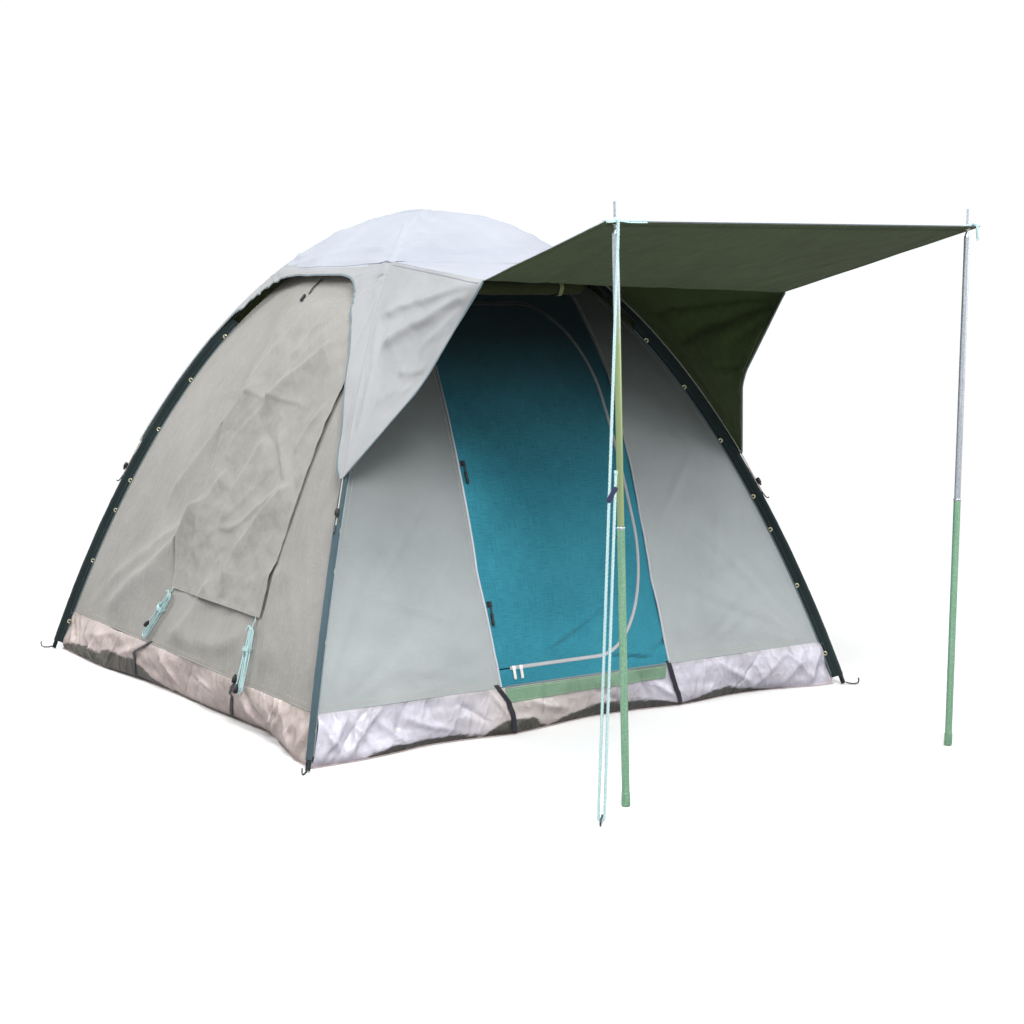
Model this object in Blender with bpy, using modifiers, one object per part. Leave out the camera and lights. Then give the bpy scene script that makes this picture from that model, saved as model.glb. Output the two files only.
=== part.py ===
# A square bow tent with a flysheet, a mesh front door, window flaps and a porch awning on two poles.
# Metres, +Z up. The origin is the middle of the groundsheet on the ground, and the door faces -Y.

import math
from functools import lru_cache

import bmesh
import bpy
import numpy as np
from mathutils import Matrix, Vector

for old in list(bpy.data.objects):
    bpy.data.objects.remove(old, do_unlink=True)

# Driving sizes of the whole tent
side_length = 2.5
bow_height = 1.925
half_side = side_length / 2
foot_reach = half_side * math.sqrt(2)
knee_reach_share = 0.857
knee_height_share = 0.345
shoulder_reach_share = 0.515

# Cloths and the clearances between layers
canvas = 0.0025
netting = 0.002
fly_cloth = 0.0025
tub_sheet = 0.0025
layer_gap = 0.0008
touch_gap = 0.0004
edge_gap = 0.0007
weld = 0.00001

# Bow poles and the sleeves that hold them at the corners
pole_radius = 0.0095
pole_out = 0.010
spigot_radius = 0.0072
socket_radius = 0.0077
spigot_length = 0.085
joint_height_share = 0.83117
joint_height = bow_height * joint_height_share
sleeve_play = 0.0006
sleeve_cloth = 0.0012
fin_slot = 0.0012
wall_set_in = 0.027
sleeve_foot = 0.035
sleeve_top_share = 0.77922
sleeve_top = bow_height * sleeve_top_share
corner_trim = 0.0022

# Heights up the walls
tub_height = 0.175
wall_top_share = 0.88312
wall_top = bow_height * wall_top_share
stations_up_bow = 22

# Doorway, its D shaped zip and what is on it
door_left_edge = ((0.175, -0.412), (0.600, -0.432), (1.350, -0.404), (1.700, -0.385))
door_right_edge = ((0.175, 0.376), (0.500, 0.360), (1.300, 0.396), (1.700, 0.358))
zip_gap = 0.004
zip_bottom = 0.240
zip_side = 0.335
zip_low_round_across = 0.290
zip_low_round_up = 0.500
zip_high_round_across = 0.260
zip_high_round_up = 0.370
zip_top_share = 0.82078
zip_top = bow_height * zip_top_share
surround_top_share = 0.85195
surround_top = bow_height * surround_top_share
sill_low = 0.120
sill_high = 0.172
sill_inset = 0.0135
sill_gap = 0.0016
slider_width = 0.011
slider_height = 0.013
slider_thickness = 0.0045
pull_width = 0.008
pull_length = 0.038
slider_places = (-0.349, -0.317)
toggle_heights = (0.985, 0.475)
toggle_inset = 0.018
toggle_radius = 0.0065
toggle_cord_radius = 0.002
toggle_cord_length = 0.032
toggle_length = 0.048
toggle_room = 0.0001

# Rolled storm door over the doorway
roll_radius = 0.029
roll_core = 0.008
roll_turns = 3.5
roll_cloth = 0.0038
roll_half_length = 0.405
roll_height_share = 0.84831
roll_height = bow_height * roll_height_share
roll_tie_width = 0.020
roll_tie_cloth = 0.0015
roll_tie_places = (-0.270, 0.270)

# Windows and their flaps
window_shift = 0.200
flap_half_width = 0.410
flap_low = 0.414
flap_high_share = 0.83117
flap_high = bow_height * flap_high_share
flap_corner_room = 0.100
flap_top_room = 0.080
flap_narrows_from_share = 0.67532
flap_narrows_from = bow_height * flap_narrows_from_share
window_margin = 0.055
window_low = 0.500
window_high_share = 0.72727
window_high = bow_height * window_high_share
flap_fold_depth = 0.010

# Groundsheet tub
floor_sheet = 0.002
floor_gap = 0.0018
tub_bow_side = 0.060
tub_bow_front = 0.030
tub_wave_depth = 0.006
tub_wave_length = 0.420
columns_of_tub = 36
rows_of_tub = 3
strap_width = 0.020
strap_sheet = 0.002
strap_gap = 0.0016
strap_columns = 3
strap_top = 0.188
strap_low = 0.015
front_straps = (("left", -0.437, -0.412, -0.372), ("right", 0.372, 0.392, 0.430))
left_straps = (("rear", -0.280, -0.405, -0.438), ("front", 0.580, 0.510, 0.440))

# Flysheet
fly_lift = 0.0270
fly_rest_gap = 0.0007
fly_tip_height_share = 0.49870
fly_tip_height = bow_height * fly_tip_height_share
knuckle_height_share = 0.90442
knuckle_height = bow_height * knuckle_height_share
arch_height_share = 0.87792
arch_height = bow_height * arch_height_share
arch_half_width = 0.410
arch_round_across = 0.190
arch_round_up = 0.100
leg_width = 0.170
leg_full_rise = 0.600

# Awning and its two wings
eave_half_width = 0.690
eave_forward = 1.460
eave_height_share = 0.84779
eave_height = bow_height * eave_height_share
eave_left_rise = 0.037
eave_left_inset = 0.016
awning_left_corner = (-0.694, -2.160, 1.843)
awning_right_corner = (0.917, -2.210, 1.862)
awning_sag = 0.012
left_wing_corner = (-0.740, -1.170, 1.303)
right_wing_corner = (0.710, -1.200, 1.290)
wing_fold_depth = 0.014

# Awning poles
eyelet_inset = (0.058, 0.024)
awning_pole_feet = ((-0.5895, -2.169), (0.8613, -2.197))
upper_radius = 0.011
upper_bore = 0.0098
upper_bottom = 0.600
lower_radius = 0.0125
lower_bore = 0.0114
lower_top = 0.900
foot_solid = 0.030
foot_chamfer = 0.003
shoulder_drop = 0.010
swage_length = 0.018
bore_end_drop = 0.030
spike_radius = 0.005
spike_rise = 0.074
spike_round = 0.004
eyelet_play = 0.0008
turned_steps = 20

# Ropes and pegs
rope_radius = 0.004
hank_rope_radius = 0.0025
hank_turns = 3
hank_half_length = 0.105
hank_round = 0.013
hank_pitch = 0.0056
hank_lead = 0.056
rear_hank = (-0.196, -0.150)
front_hank = (0.578, 0.035)
points_a_loop = 24
runner_length = 0.060
runner_height = 1.015
strand_spread = 0.0180
runner_wall = 0.003
runner_play = 0.0004
peg_wire = 0.003
knot_radius_share = 1.9
knot_end_shares = (0.5, 2.5, 3.0)
spike_loop_radius = 0.0150
edge_room = 0.0050
tie_tail = 0.030
guy_peg_place = (-0.777, -2.289)
guy_hook_height = 0.024
tail_past_runner = 0.030
longest_straight = 0.075

collection = bpy.data.collections.new("bow_tent")
bpy.context.scene.collection.children.link(collection)
cutters = bpy.data.collections.new("cutters")
bpy.context.scene.collection.children.link(cutters)


def finish(name, colour, roughness, metallic=0.0):
    material = bpy.data.materials.new(name)
    material.use_nodes = True
    shader = material.node_tree.nodes["Principled BSDF"]
    shader.inputs["Base Color"].default_value = (*colour, 1.0)
    shader.inputs["Roughness"].default_value = roughness
    shader.inputs["Metallic"].default_value = metallic
    return material


canvas_tan = finish("canvas_tan", (0.44, 0.42, 0.36), 0.9)
fly_canvas = finish("fly_canvas", (0.72, 0.73, 0.76), 0.8)
mesh_teal = finish("mesh_teal", (0.03, 0.22, 0.28), 0.8)
sill_green = finish("sill_green", (0.19, 0.33, 0.17), 0.8)
olive_canvas = finish("olive_canvas", (0.07, 0.08, 0.03), 0.9)
tub_vinyl = finish("tub_vinyl", (0.56, 0.48, 0.52), 0.35)
strip_slate = finish("strip_slate", (0.03, 0.055, 0.055), 0.7)
black_webbing = finish("black_webbing", (0.012, 0.013, 0.016), 0.8)
black_plastic = finish("black_plastic", (0.01, 0.01, 0.012), 0.45)
white_plastic = finish("white_plastic", (0.8, 0.8, 0.8), 0.4)
pole_steel = finish("pole_steel", (0.55, 0.57, 0.6), 0.35, 1.0)
dark_steel = finish("dark_steel", (0.03, 0.04, 0.04), 0.5, 0.6)
rope_mint = finish("rope_mint", (0.42, 0.79, 0.75), 0.8)


def link(name, data, material, parent=None):
    made = bpy.data.objects.new(name, data)
    collection.objects.link(made)
    if not data.materials:
        data.materials.append(material)
    if parent:
        made.parent = parent
        made.matrix_parent_inverse = parent.matrix_world.inverted()
    return made


def pivot(name, place, parent=None):
    """An empty on a joint's axis, which carries the pieces that turn or slide with it."""
    made = bpy.data.objects.new(name, None)
    collection.objects.link(made)
    made.location = place
    if parent:
        made.parent = parent
        made.matrix_parent_inverse = parent.matrix_world.inverted()
    bpy.context.view_layer.update()
    return made


def as_mesh(source, name, material, to=collection):
    """Turns a curve object into a mesh object with its caps welded on."""
    bpy.context.view_layer.update()
    seen = source.evaluated_get(bpy.context.evaluated_depsgraph_get())
    mesh = bpy.data.meshes.new_from_object(seen)
    merged = bmesh.new()
    merged.from_mesh(mesh)
    bmesh.ops.remove_doubles(merged, verts=merged.verts, dist=weld)
    bmesh.ops.recalc_face_normals(merged, faces=merged.faces)
    merged.to_mesh(mesh)
    merged.free()
    matrix = source.matrix_world.copy()
    bpy.data.objects.remove(source, do_unlink=True)
    mesh.name = name
    made = bpy.data.objects.new(name, mesh)
    to.objects.link(made)
    made.matrix_world = matrix
    if not mesh.materials:
        mesh.materials.append(material)
    if to is cutters:
        made.hide_render = True
        made.display_type = "WIRE"
    return made


def tube(name, points, radius, material, parent=None, shares=None, sides=2):
    """A round bar or rope through points; shares give its radius at each point."""
    data = bpy.data.curves.new(name, "CURVE")
    data.dimensions = "3D"
    data.fill_mode = "FULL"
    data.use_fill_caps = True
    data.bevel_depth = radius
    data.bevel_resolution = sides
    spline = data.splines.new("POLY")
    spline.points.add(len(points) - 1)
    for index, point in enumerate(points):
        spline.points[index].co = (*point, 1.0)
        spline.points[index].radius = shares[index] if shares else 1.0
    return link(name, data, material, parent)


def outline_solid(name, points, thickness, matrix, material, parent=None):
    """A flat outline in its own XY plane, given a thickness and placed by a matrix."""
    data = bpy.data.curves.new(name, "CURVE")
    data.dimensions = "2D"
    data.fill_mode = "BOTH"
    data.extrude = thickness / 2
    spline = data.splines.new("POLY")
    spline.points.add(len(points) - 1)
    for index, point in enumerate(points):
        spline.points[index].co = (point[0], point[1], 0.0, 1.0)
    spline.use_cyclic_u = True
    made = link(name, data, material)
    made.matrix_world = matrix
    if parent:
        made.parent = parent
        made.matrix_parent_inverse = parent.matrix_world.inverted()
    return made


def cutter(name, points, thickness, matrix):
    made = outline_solid(name + "_curve", points, thickness, matrix, black_plastic)
    return as_mesh(made, name, black_plastic, cutters)


def cut(target, tool, operation="DIFFERENCE"):
    modifier = target.modifiers.new(tool.name, "BOOLEAN")
    modifier.operation = operation
    modifier.object = tool


def turned(name, profile, material, matrix, parent=None, steps=turned_steps):
    """A profile of (radius, height) points, from its top to its bottom, turned about its Z axis."""
    shape = bmesh.new()
    corners = [shape.verts.new((radius, 0.0, height)) for radius, height in profile]
    for first, second in zip(corners, corners[1:]):
        shape.edges.new((first, second))
    mesh = bpy.data.meshes.new(name)
    shape.to_mesh(mesh)
    shape.free()
    made = link(name, mesh, material)
    made.matrix_world = matrix
    if parent:
        made.parent = parent
        made.matrix_parent_inverse = parent.matrix_world.inverted()
    screw = made.modifiers.new("turn", "SCREW")
    screw.steps = screw.render_steps = steps
    screw.use_merge_vertices = True
    screw.merge_threshold = weld
    return made


# The bow line: one curve in the diagonal plane, from a corner foot to the top of the tent.


@lru_cache
def bow_line(lift):
    """(reach, height) along the bow, pushed out of the tent by lift."""
    t = np.linspace(0.0, 1.0, 601)[:, None]
    foot = np.array((foot_reach, 0.0))
    knee = np.array((foot_reach * knee_reach_share, bow_height * knee_height_share))
    shoulder = np.array((foot_reach * shoulder_reach_share, bow_height))
    top = np.array((0.0, bow_height))
    line = (1 - t) ** 3 * foot + 3 * t * (1 - t) ** 2 * knee + 3 * t**2 * (1 - t) * shoulder + t**3 * top
    return pushed(line, lift)


def pushed(line, lift):
    """A line of (reach, height) points moved out along its own normals."""
    tangent = np.gradient(line, axis=0)
    tangent /= np.linalg.norm(tangent, axis=1)[:, None]
    return line + lift * np.stack([tangent[:, 1], -tangent[:, 0]], axis=1)


def distance_along(line):
    steps = np.linalg.norm(np.diff(line, axis=0), axis=1)
    return np.concatenate([[0.0], np.cumsum(steps)])


def share_at_height(line, height):
    return float(np.interp(height, line[:, 1], np.linspace(0.0, 1.0, len(line))))


def point_at_share(line, share):
    at = np.linspace(0.0, 1.0, len(line))
    return float(np.interp(share, at, line[:, 0])), float(np.interp(share, at, line[:, 1]))


@lru_cache
def station_shares():
    """Places up the bow at even distances, which every cloth and pole shares."""
    line = bow_line(0.0)
    along = distance_along(line)
    even = np.linspace(0.0, along[-1], stations_up_bow + 1)
    return tuple(np.interp(even, along, np.linspace(0.0, 1.0, len(line))))


@lru_cache
def face_line(lift):
    """(distance from the middle, height) of a wall cloth halfway between its corners."""
    line = bow_line(-wall_set_in).copy()
    line[:, 0] /= math.sqrt(2)
    return pushed(line, lift)


def face_reach(height, lift=0.0):
    line = face_line(lift)
    return float(np.interp(height, line[:, 1], line[:, 0]))


def heights_between(low, high):
    """Row heights of a wall cloth: its two edges and the shared stations between them."""
    line = face_line(0.0)
    stations = [point_at_share(line, share)[1] for share in station_shares()]
    room = (stations[2] - stations[1]) / 4
    return [low] + [height for height in stations if low + room < height < high - room] + [high]


quarter = math.pi / 2
side_names = ("front", "right", "back", "left")


def turn_to(side):
    return Matrix.Rotation(quarter * side_names.index(side), 4, "Z")


def on_side(side, along, height, lift=0.0):
    return turn_to(side) @ Vector((along, -face_reach(height, lift), height))


def face_frame(side):
    """Stands an outline's XY plane up on a side: X along it and Y up."""
    return turn_to(side) @ Matrix.Rotation(quarter, 4, "X")


def cloth(name, material, place, columns, rows, thickness, parent=None, weld_edges=False):
    """A grid of cloth. place takes a share across and a share up, and gives the cloth's inner side."""
    grid = bmesh.new()
    bmesh.ops.create_grid(grid, x_segments=columns, y_segments=rows, size=0.5)
    for vertex in grid.verts:
        vertex.co = place(vertex.co.x + 0.5, vertex.co.y + 0.5)
    if weld_edges:
        bmesh.ops.remove_doubles(grid, verts=grid.verts, dist=weld)
    mesh = bpy.data.meshes.new(name)
    grid.to_mesh(mesh)
    grid.free()
    made = link(name, mesh, material, parent)
    thicken(made, thickness)
    return made


def thicken(target, thickness):
    wall = target.modifiers.new("thickness", "SOLIDIFY")
    wall.thickness = thickness
    wall.offset = 1.0
    wall.use_even_offset = True


def wall_panel(name, side, material, edges, low, high, columns, thickness, lift=0.0, parent=None, fold=None):
    """A cloth on one side of the tent; edges gives its two ends at a height."""
    heights = heights_between(low, high)

    def place(across, up):
        height = float(np.interp(up, np.linspace(0.0, 1.0, len(heights)), heights))
        first, last = edges(height)
        along = first + (last - first) * across
        return on_side(side, along, height, lift + (fold(across, up) if fold else 0.0))

    return cloth(name, material, place, columns, len(heights) - 1, thickness, parent)


def to_corners(height):
    reach = face_reach(height) - corner_trim
    return -reach, reach


# Groundsheet: a flat floor and four tub walls that bow in a little between the corners


@lru_cache
def tub_columns(side):
    """How far the sheet bows and waves inwards at each of its columns, by share of the way to a corner."""
    shares = np.linspace(-1.0, 1.0, columns_of_tub + 1)
    depth = tub_bow_front if side == "front" else tub_bow_side
    waves = 2 * math.pi * shares * half_side / tub_wave_length + side_names.index(side)
    return shares, depth * (1 - shares**2), tub_wave_depth * np.sin(waves)


def tub_bow(side, share):
    shares, bow, _ = tub_columns(side)
    return float(np.interp(share, shares, bow))


@lru_cache
def tub_rows():
    """Row heights of the tub walls, which whatever lies on them follows."""
    return tuple(tub_height * row / rows_of_tub for row in range(rows_of_tub)) + (tub_height - edge_gap,)


def on_tub(side, along, height, lift=0.0):
    """A place on the tub wall's flat facets, or on the canvas above its seam."""
    rows = tub_rows()
    if height > rows[-1]:
        return on_side(side, along, height, lift)
    share = along / np.interp(height, rows, [face_reach(row) - corner_trim for row in rows])
    shares, bow, wave = tub_columns(side)
    depths = []
    for row in rows:
        up = row / tub_height
        inward = np.interp(share, shares, bow) * (1 - up) - np.interp(share, shares, wave) * math.sin(math.pi * up)
        depths.append(inward - face_reach(row, lift))
    return turn_to(side) @ Vector((along, float(np.interp(height, rows, depths)), height))


def make_groundsheet():
    edge = face_reach(0.0) - floor_gap

    def floor_place(across, up):
        x_share, y_share = 2 * across - 1, 2 * up - 1
        depth_side = tub_bow("front" if y_share < 0 else "back", x_share)
        depth_across = tub_bow("right", y_share)
        return Vector((x_share * (edge - depth_across), y_share * (edge - depth_side), 0.0))

    cloth("groundsheet_floor", tub_vinyl, floor_place, 12, 12, floor_sheet)
    heights = tub_rows()
    for side in side_names:

        def tub_place(across, up, side=side):
            height = heights[round(up * rows_of_tub)]
            reach = face_reach(height) - corner_trim
            return on_tub(side, reach * (2 * across - 1), height)

        cloth(f"tub_wall_{side}", tub_vinyl, tub_place, columns_of_tub, rows_of_tub, tub_sheet)


def make_peg_straps():
    """Each strap hangs from the top seam, by its places along the side at its top, its middle and its foot."""
    heights = [strap_low] + [tub_height * row / rows_of_tub for row in range(1, rows_of_tub + 1)] + [strap_top]
    bends = (strap_low, tub_height * 0.7, strap_top)
    for side, straps in (("front", front_straps), ("left", left_straps)):
        for hand, top, middle, foot in straps:

            def strap_place(across, up, side=side, route=(foot, middle, top)):
                height = heights[round(up * (len(heights) - 1))]
                along = np.interp(height, bends, route) + strap_width * (across - 0.5)
                lift = canvas + touch_gap if height == strap_top else tub_sheet + strap_gap
                return on_tub(side, float(along), height, lift)

            rows = len(heights) - 1
            cloth(f"{side}_peg_strap_{hand}", black_webbing, strap_place, strap_columns, rows, strap_sheet)


# Front: two canvas panels, the netting with its D shaped door, the sill and the storm door rolled up above


def zip_outline(grow):
    """The D of the zip, grown outwards; its straight side runs past the left edge of the doorway."""
    past = door_edge(door_left_edge, zip_bottom) - window_margin
    low, side, high = zip_bottom - grow, zip_side + grow, zip_top + grow
    points = [(past, low)]
    for step in range(11):
        angle = -quarter + quarter * step / 10
        centre = (side - zip_low_round_across, low + zip_low_round_up)
        across, up = zip_low_round_across * math.cos(angle), zip_low_round_up * math.sin(angle)
        points.append((centre[0] + across, centre[1] + up))
    for step in range(11):
        angle = quarter * step / 10
        centre = (side - zip_high_round_across, high - zip_high_round_up)
        across, up = zip_high_round_across * math.cos(angle), zip_high_round_up * math.sin(angle)
        points.append((centre[0] + across, centre[1] + up))
    points.append((past, high))
    return points


def door_edge(edge, height):
    """Place along the front of an upright edge of the doorway, which bends a little on its way up."""
    heights, places = zip(*edge)
    return float(np.interp(height, heights, places))


def make_front():
    def left_part(height):
        return -face_reach(height) + corner_trim, door_edge(door_left_edge, height) - edge_gap

    def right_part(height):
        return door_edge(door_right_edge, height) + edge_gap, face_reach(height) - corner_trim

    def doorway(height):
        return door_edge(door_left_edge, height), door_edge(door_right_edge, height)

    wall_panel("front_wall_left", "front", canvas_tan, left_part, tub_height, wall_top, 4, canvas)
    wall_panel("front_wall_right", "front", canvas_tan, right_part, tub_height, wall_top, 4, canvas)
    lintel_low = surround_top + edge_gap + netting
    wall_panel("front_lintel", "front", canvas_tan, doorway, lintel_low, wall_top, 6, canvas)
    surround = wall_panel("door_surround", "front", mesh_teal, doorway, tub_height, surround_top, 6, netting)
    reach = 2 * half_side
    cut(surround, cutter("zip_hole", zip_outline(zip_gap / 2), 2 * reach, face_frame("front")))

    seam = door_edge(door_left_edge, zip_bottom)
    hinge_low = on_side("front", seam, zip_bottom, netting)
    hinge_high = on_side("front", seam, zip_top, netting)
    rise = (hinge_high - hinge_low).normalized()
    outward = Vector((1, 0, 0)).cross(rise)
    bulge = max(
        (on_side("front", seam, height, netting) - hinge_low).dot(outward)
        for height in np.linspace(zip_bottom, zip_top, 40)
    )
    foot = hinge_low + outward * (bulge + layer_gap)
    hinge = pivot("mesh_door_hinge", foot)
    print("mesh door hinge: a point", tuple(round(v, 5) for v in foot), "axis", tuple(round(v, 6) for v in rise))
    door = wall_panel("mesh_door", "front", mesh_teal, doorway, zip_bottom, zip_top, 6, netting, parent=hinge)
    cut(door, cutter("zip_shape", zip_outline(-zip_gap / 2), 2 * reach, face_frame("front")), "INTERSECT")
    make_zip_sliders(hinge)
    make_toggles(hinge)

    def sill_place(across, up):
        first, last = doorway(tub_height)
        along = first + sill_inset + (last - first - 2 * sill_inset) * across
        return on_tub("front", along, sill_low + (sill_high - sill_low) * up, tub_sheet + sill_gap)

    cloth("door_sill", sill_green, sill_place, 13, 1, strap_sheet)
    make_storm_roll()


def surface_frame(side, along, height, lift, reach_up):
    """A frame on a wall: X along the side, Y up its slope as far as reach_up and Z out of it."""
    here = on_side(side, along, height, lift)
    there = on_side(side, along, height + reach_up, lift)
    across = turn_to(side) @ Vector((1, 0, 0))
    up = (there - here).normalized() * math.copysign(1.0, reach_up)
    out = across.cross(up)
    return Matrix.Translation(here) @ Matrix((across, up, out)).transposed().to_4x4()


def make_zip_sliders(hinge):
    """Each slider is a small plate with a narrower pull hanging from it, as one flat outline."""
    for place, name in zip(slider_places, ("zip_slider_outer", "zip_slider_inner")):
        half, tab = slider_width / 2, pull_width / 2
        points = [
            (-half, slider_height / 2),
            (-half, -slider_height / 2),
            (-tab, -slider_height / 2 - tab),
            (-tab, -slider_height / 2 - pull_length),
            (tab, -slider_height / 2 - pull_length),
            (tab, -slider_height / 2 - tab),
            (half, -slider_height / 2),
            (half, slider_height / 2),
        ]
        lift = netting + touch_gap + slider_thickness / 2
        frame = surface_frame("front", place, zip_bottom, lift, -pull_length)
        track = pivot(name + "_track", frame.translation, hinge)
        outline_solid(name, points, slider_thickness, frame, white_plastic, track)
        print(name, "at", tuple(round(v, 5) for v in frame.translation))


def make_toggles(hinge):
    """Each toggle hangs by a short cord; cord and toggle are one turned shape."""
    for height, name in zip(toggle_heights, ("door_toggle_upper", "door_toggle_lower")):
        length = toggle_cord_length + toggle_length
        lift = netting + toggle_radius + toggle_room
        frame = surface_frame("front", door_edge(door_left_edge, height) + toggle_inset, height, lift, -length)
        swing = pivot(name + "_swing", frame.translation, hinge)
        waist = toggle_cord_length + toggle_length / 2
        low = toggle_cord_length + toggle_length
        profile = [
            (0.0, 0.0),
            (toggle_cord_radius, 0.0),
            (toggle_cord_radius, -toggle_cord_length),
            (toggle_radius, -toggle_cord_length - toggle_radius / 2),
            (toggle_radius * 0.8, -waist),
            (toggle_radius, -low + toggle_radius / 2),
            (toggle_cord_radius, -low),
            (0.0, -low),
        ]
        matrix = frame @ Matrix.Rotation(-quarter, 4, "X")
        turned(name, profile, black_plastic, matrix, swing, 10)
        print(name, "pivot", tuple(round(v, 5) for v in frame.translation))


def make_storm_roll():
    """The outer door rolled up tight, as one spiral of cloth, with two ties round it."""
    lift = netting + roll_tie_cloth + roll_radius
    centre = on_side("front", 0.0, roll_height, lift)
    steps = int(roll_turns * 14)
    outer, inner = [], []
    for step in range(steps + 1):
        angle = 2 * math.pi * roll_turns * step / steps
        radius = roll_core + (roll_radius - roll_core) * step / steps
        outer.append((radius * math.cos(angle), radius * math.sin(angle)))
        inner.append(((radius - roll_cloth) * math.cos(angle), (radius - roll_cloth) * math.sin(angle)))
    # The outline's X runs to +Y, its Y to +Z and its thickness along +X.
    frame = Matrix.Translation(centre) @ Matrix(((0, 0, 1), (1, 0, 0), (0, 1, 0))).to_4x4()
    outline_solid("storm_door_roll", outer + inner[::-1], 2 * roll_half_length, frame, olive_canvas)
    bore = roll_radius + touch_gap
    ring = [
        (bore, roll_tie_width / 2),
        (bore + roll_tie_cloth, roll_tie_width / 2),
        (bore + roll_tie_cloth, -roll_tie_width / 2),
        (bore, -roll_tie_width / 2),
        (bore, roll_tie_width / 2),
    ]
    for place, hand in zip(roll_tie_places, ("left", "right")):
        matrix = Matrix.Translation(centre + Vector((place, 0, 0))) @ Matrix.Rotation(quarter, 4, "Y")
        turned(f"storm_roll_tie_{hand}", ring, olive_canvas, matrix)


# Side and back walls, each with a window of netting behind a flap that is sewn on at its top

window_centres = {"left": window_shift, "right": -window_shift, "back": 0.0}


def make_windows():
    for side, centre in window_centres.items():
        wall = wall_panel(f"{side}_wall", side, canvas_tan, to_corners, tub_height, wall_top, 8, canvas)
        half = flap_half_width - window_margin

        def ends(height, centre=centre, margin=0.0):
            near_top = max(0.0, (height - flap_narrows_from) / (flap_high - flap_narrows_from))
            room = face_reach(height) - flap_corner_room - flap_top_room * near_top
            low = max(centre - flap_half_width, -room)
            high = min(centre + flap_half_width, room)
            return low, high

        def net_ends(height, centre=centre, half=half):
            return centre - half + edge_gap, centre + half - edge_gap

        hole = [
            (centre - half, window_low),
            (centre + half, window_low),
            (centre + half, window_high),
            (centre - half, window_high),
        ]
        reach = 2 * half_side
        place = turn_to(side) @ Matrix.Translation((0, -half_side, 0)) @ Matrix.Rotation(quarter, 4, "X")
        cut(wall, cutter(f"{side}_window_hole", hole, reach, place))
        low, high = window_low + edge_gap, window_high - edge_gap - netting
        wall_panel(f"window_net_{side}", side, mesh_teal, net_ends, low, high, 4, netting)
        lift = canvas + layer_gap
        hinge_place = on_side(side, centre, flap_high, lift)
        hinge = pivot(f"window_flap_{side}_hinge", hinge_place)
        print("flap hinge", side, tuple(round(v, 5) for v in hinge_place))

        def fold(across, up):
            wave = math.sin(math.pi * (2.2 * across + 1.6 * up)) ** 2
            return flap_fold_depth * wave * math.sin(math.pi * up)

        wall_panel(
            f"window_flap_{side}", side, canvas_tan, ends, flap_low, flap_high, 8, canvas, lift, hinge, fold
        )


def make_inner_roof():
    """The canvas roof above the walls, creased along both diagonals."""
    line = face_line(0.0)
    edge = face_reach(wall_top) - edge_gap

    def roof_place(across, up):
        x, y = edge * (2 * across - 1), edge * (2 * up - 1)
        distance = max(abs(x), abs(y))
        return Vector((x, y, float(np.interp(-distance, -line[:, 0], line[:, 1]))))

    cloth("inner_roof", canvas_tan, roof_place, 10, 10, canvas)


# Bows: a leg in a sleeve at each corner, and two arches that cross at the top

corners = {"front_left": (-1, -1), "front_right": (1, -1), "back_right": (1, 1), "back_left": (-1, 1)}


def in_corner(corner, reach, height, aside=0.0):
    x, y = corners[corner]
    outward = Vector((x, y, 0)).normalized()
    return outward * reach + Vector((-outward.y, outward.x, 0)) * aside + Vector((0, 0, height))


def crossing_rise(reach, joint_reach, rise):
    share = min(1.0, abs(reach) / joint_reach)
    return rise * (1 - share**2) ** 2


def bow_part(line, first, last):
    """Shares of the bow between two of them, with the shared stations in between."""
    room = 0.004
    return [first] + [s for s in station_shares() if first + room < s < last - room] + [last]


def make_bows():
    line = bow_line(pole_out)
    along = distance_along(line)
    shares = np.linspace(0.0, 1.0, len(line))
    joint = share_at_height(line, joint_height)
    joint_along = float(np.interp(joint, shares, along))
    foot = share_at_height(line, pole_radius / 2)
    shoulder = float(np.interp(joint_along + touch_gap, along, shares))
    spigot = [float(np.interp(joint_along - spigot_length * step / 4, along, shares)) for step in range(4, -1, -1)]
    socket_end = float(np.interp(joint_along - spigot_length - spigot_radius, along, shares))
    past = float(np.interp(joint_along + spigot_radius, along, shares))
    joint_reach = point_at_share(line, shoulder)[0]
    for corner in corners:
        leg_shares = bow_part(line, foot, spigot[0]) + spigot[1:]
        leg_points = [in_corner(corner, *point_at_share(line, share)) for share in leg_shares]
        leg = as_mesh(tube(f"leg_curve_{corner}", leg_points, pole_radius, dark_steel), f"bow_leg_{corner}", dark_steel)
        socket_points = [in_corner(corner, *point_at_share(line, share)) for share in (socket_end, *spigot, past)]
        socket = tube(f"socket_curve_{corner}", socket_points, socket_radius, dark_steel)
        cut(leg, as_mesh(socket, f"socket_{corner}", dark_steel, cutters))
    pairs = (("front_left", "back_right", 0.0), ("front_right", "back_left", 2 * pole_radius + touch_gap))
    for first, last, rise in pairs:
        half_points, half_shares = [], []
        for share in spigot:
            half_points.append(point_at_share(line, share))
            half_shares.append(spigot_radius / pole_radius)
        for share in bow_part(line, shoulder, 1.0):
            reach, height = point_at_share(line, share)
            half_points.append((reach, height + crossing_rise(reach, joint_reach, rise)))
            half_shares.append(1.0)
        points = [in_corner(first, *point) for point in half_points]
        points += [in_corner(last, *point) for point in half_points[-2::-1]]
        radii = half_shares + half_shares[-2::-1]
        tube(f"bow_arch_{first}_to_{last}", points, pole_radius, dark_steel, shares=radii)


def sleeve_section():
    """Across the sleeve: (out of the tent, aside) from the fin's edge, round the pole and back."""
    bore = pole_radius + sleeve_play
    slot = fin_slot / 2
    edge = -wall_set_in + touch_gap
    around = []
    for step in range(7):
        angle = math.radians(125 - 250 * step / 6)
        around.append((pole_out + bore * math.cos(angle), bore * math.sin(angle)))
    root = -pole_radius
    return ([(edge, slot), (root, slot)] + around + [(root, -slot), (edge, -slot)])[::-1]


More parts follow.
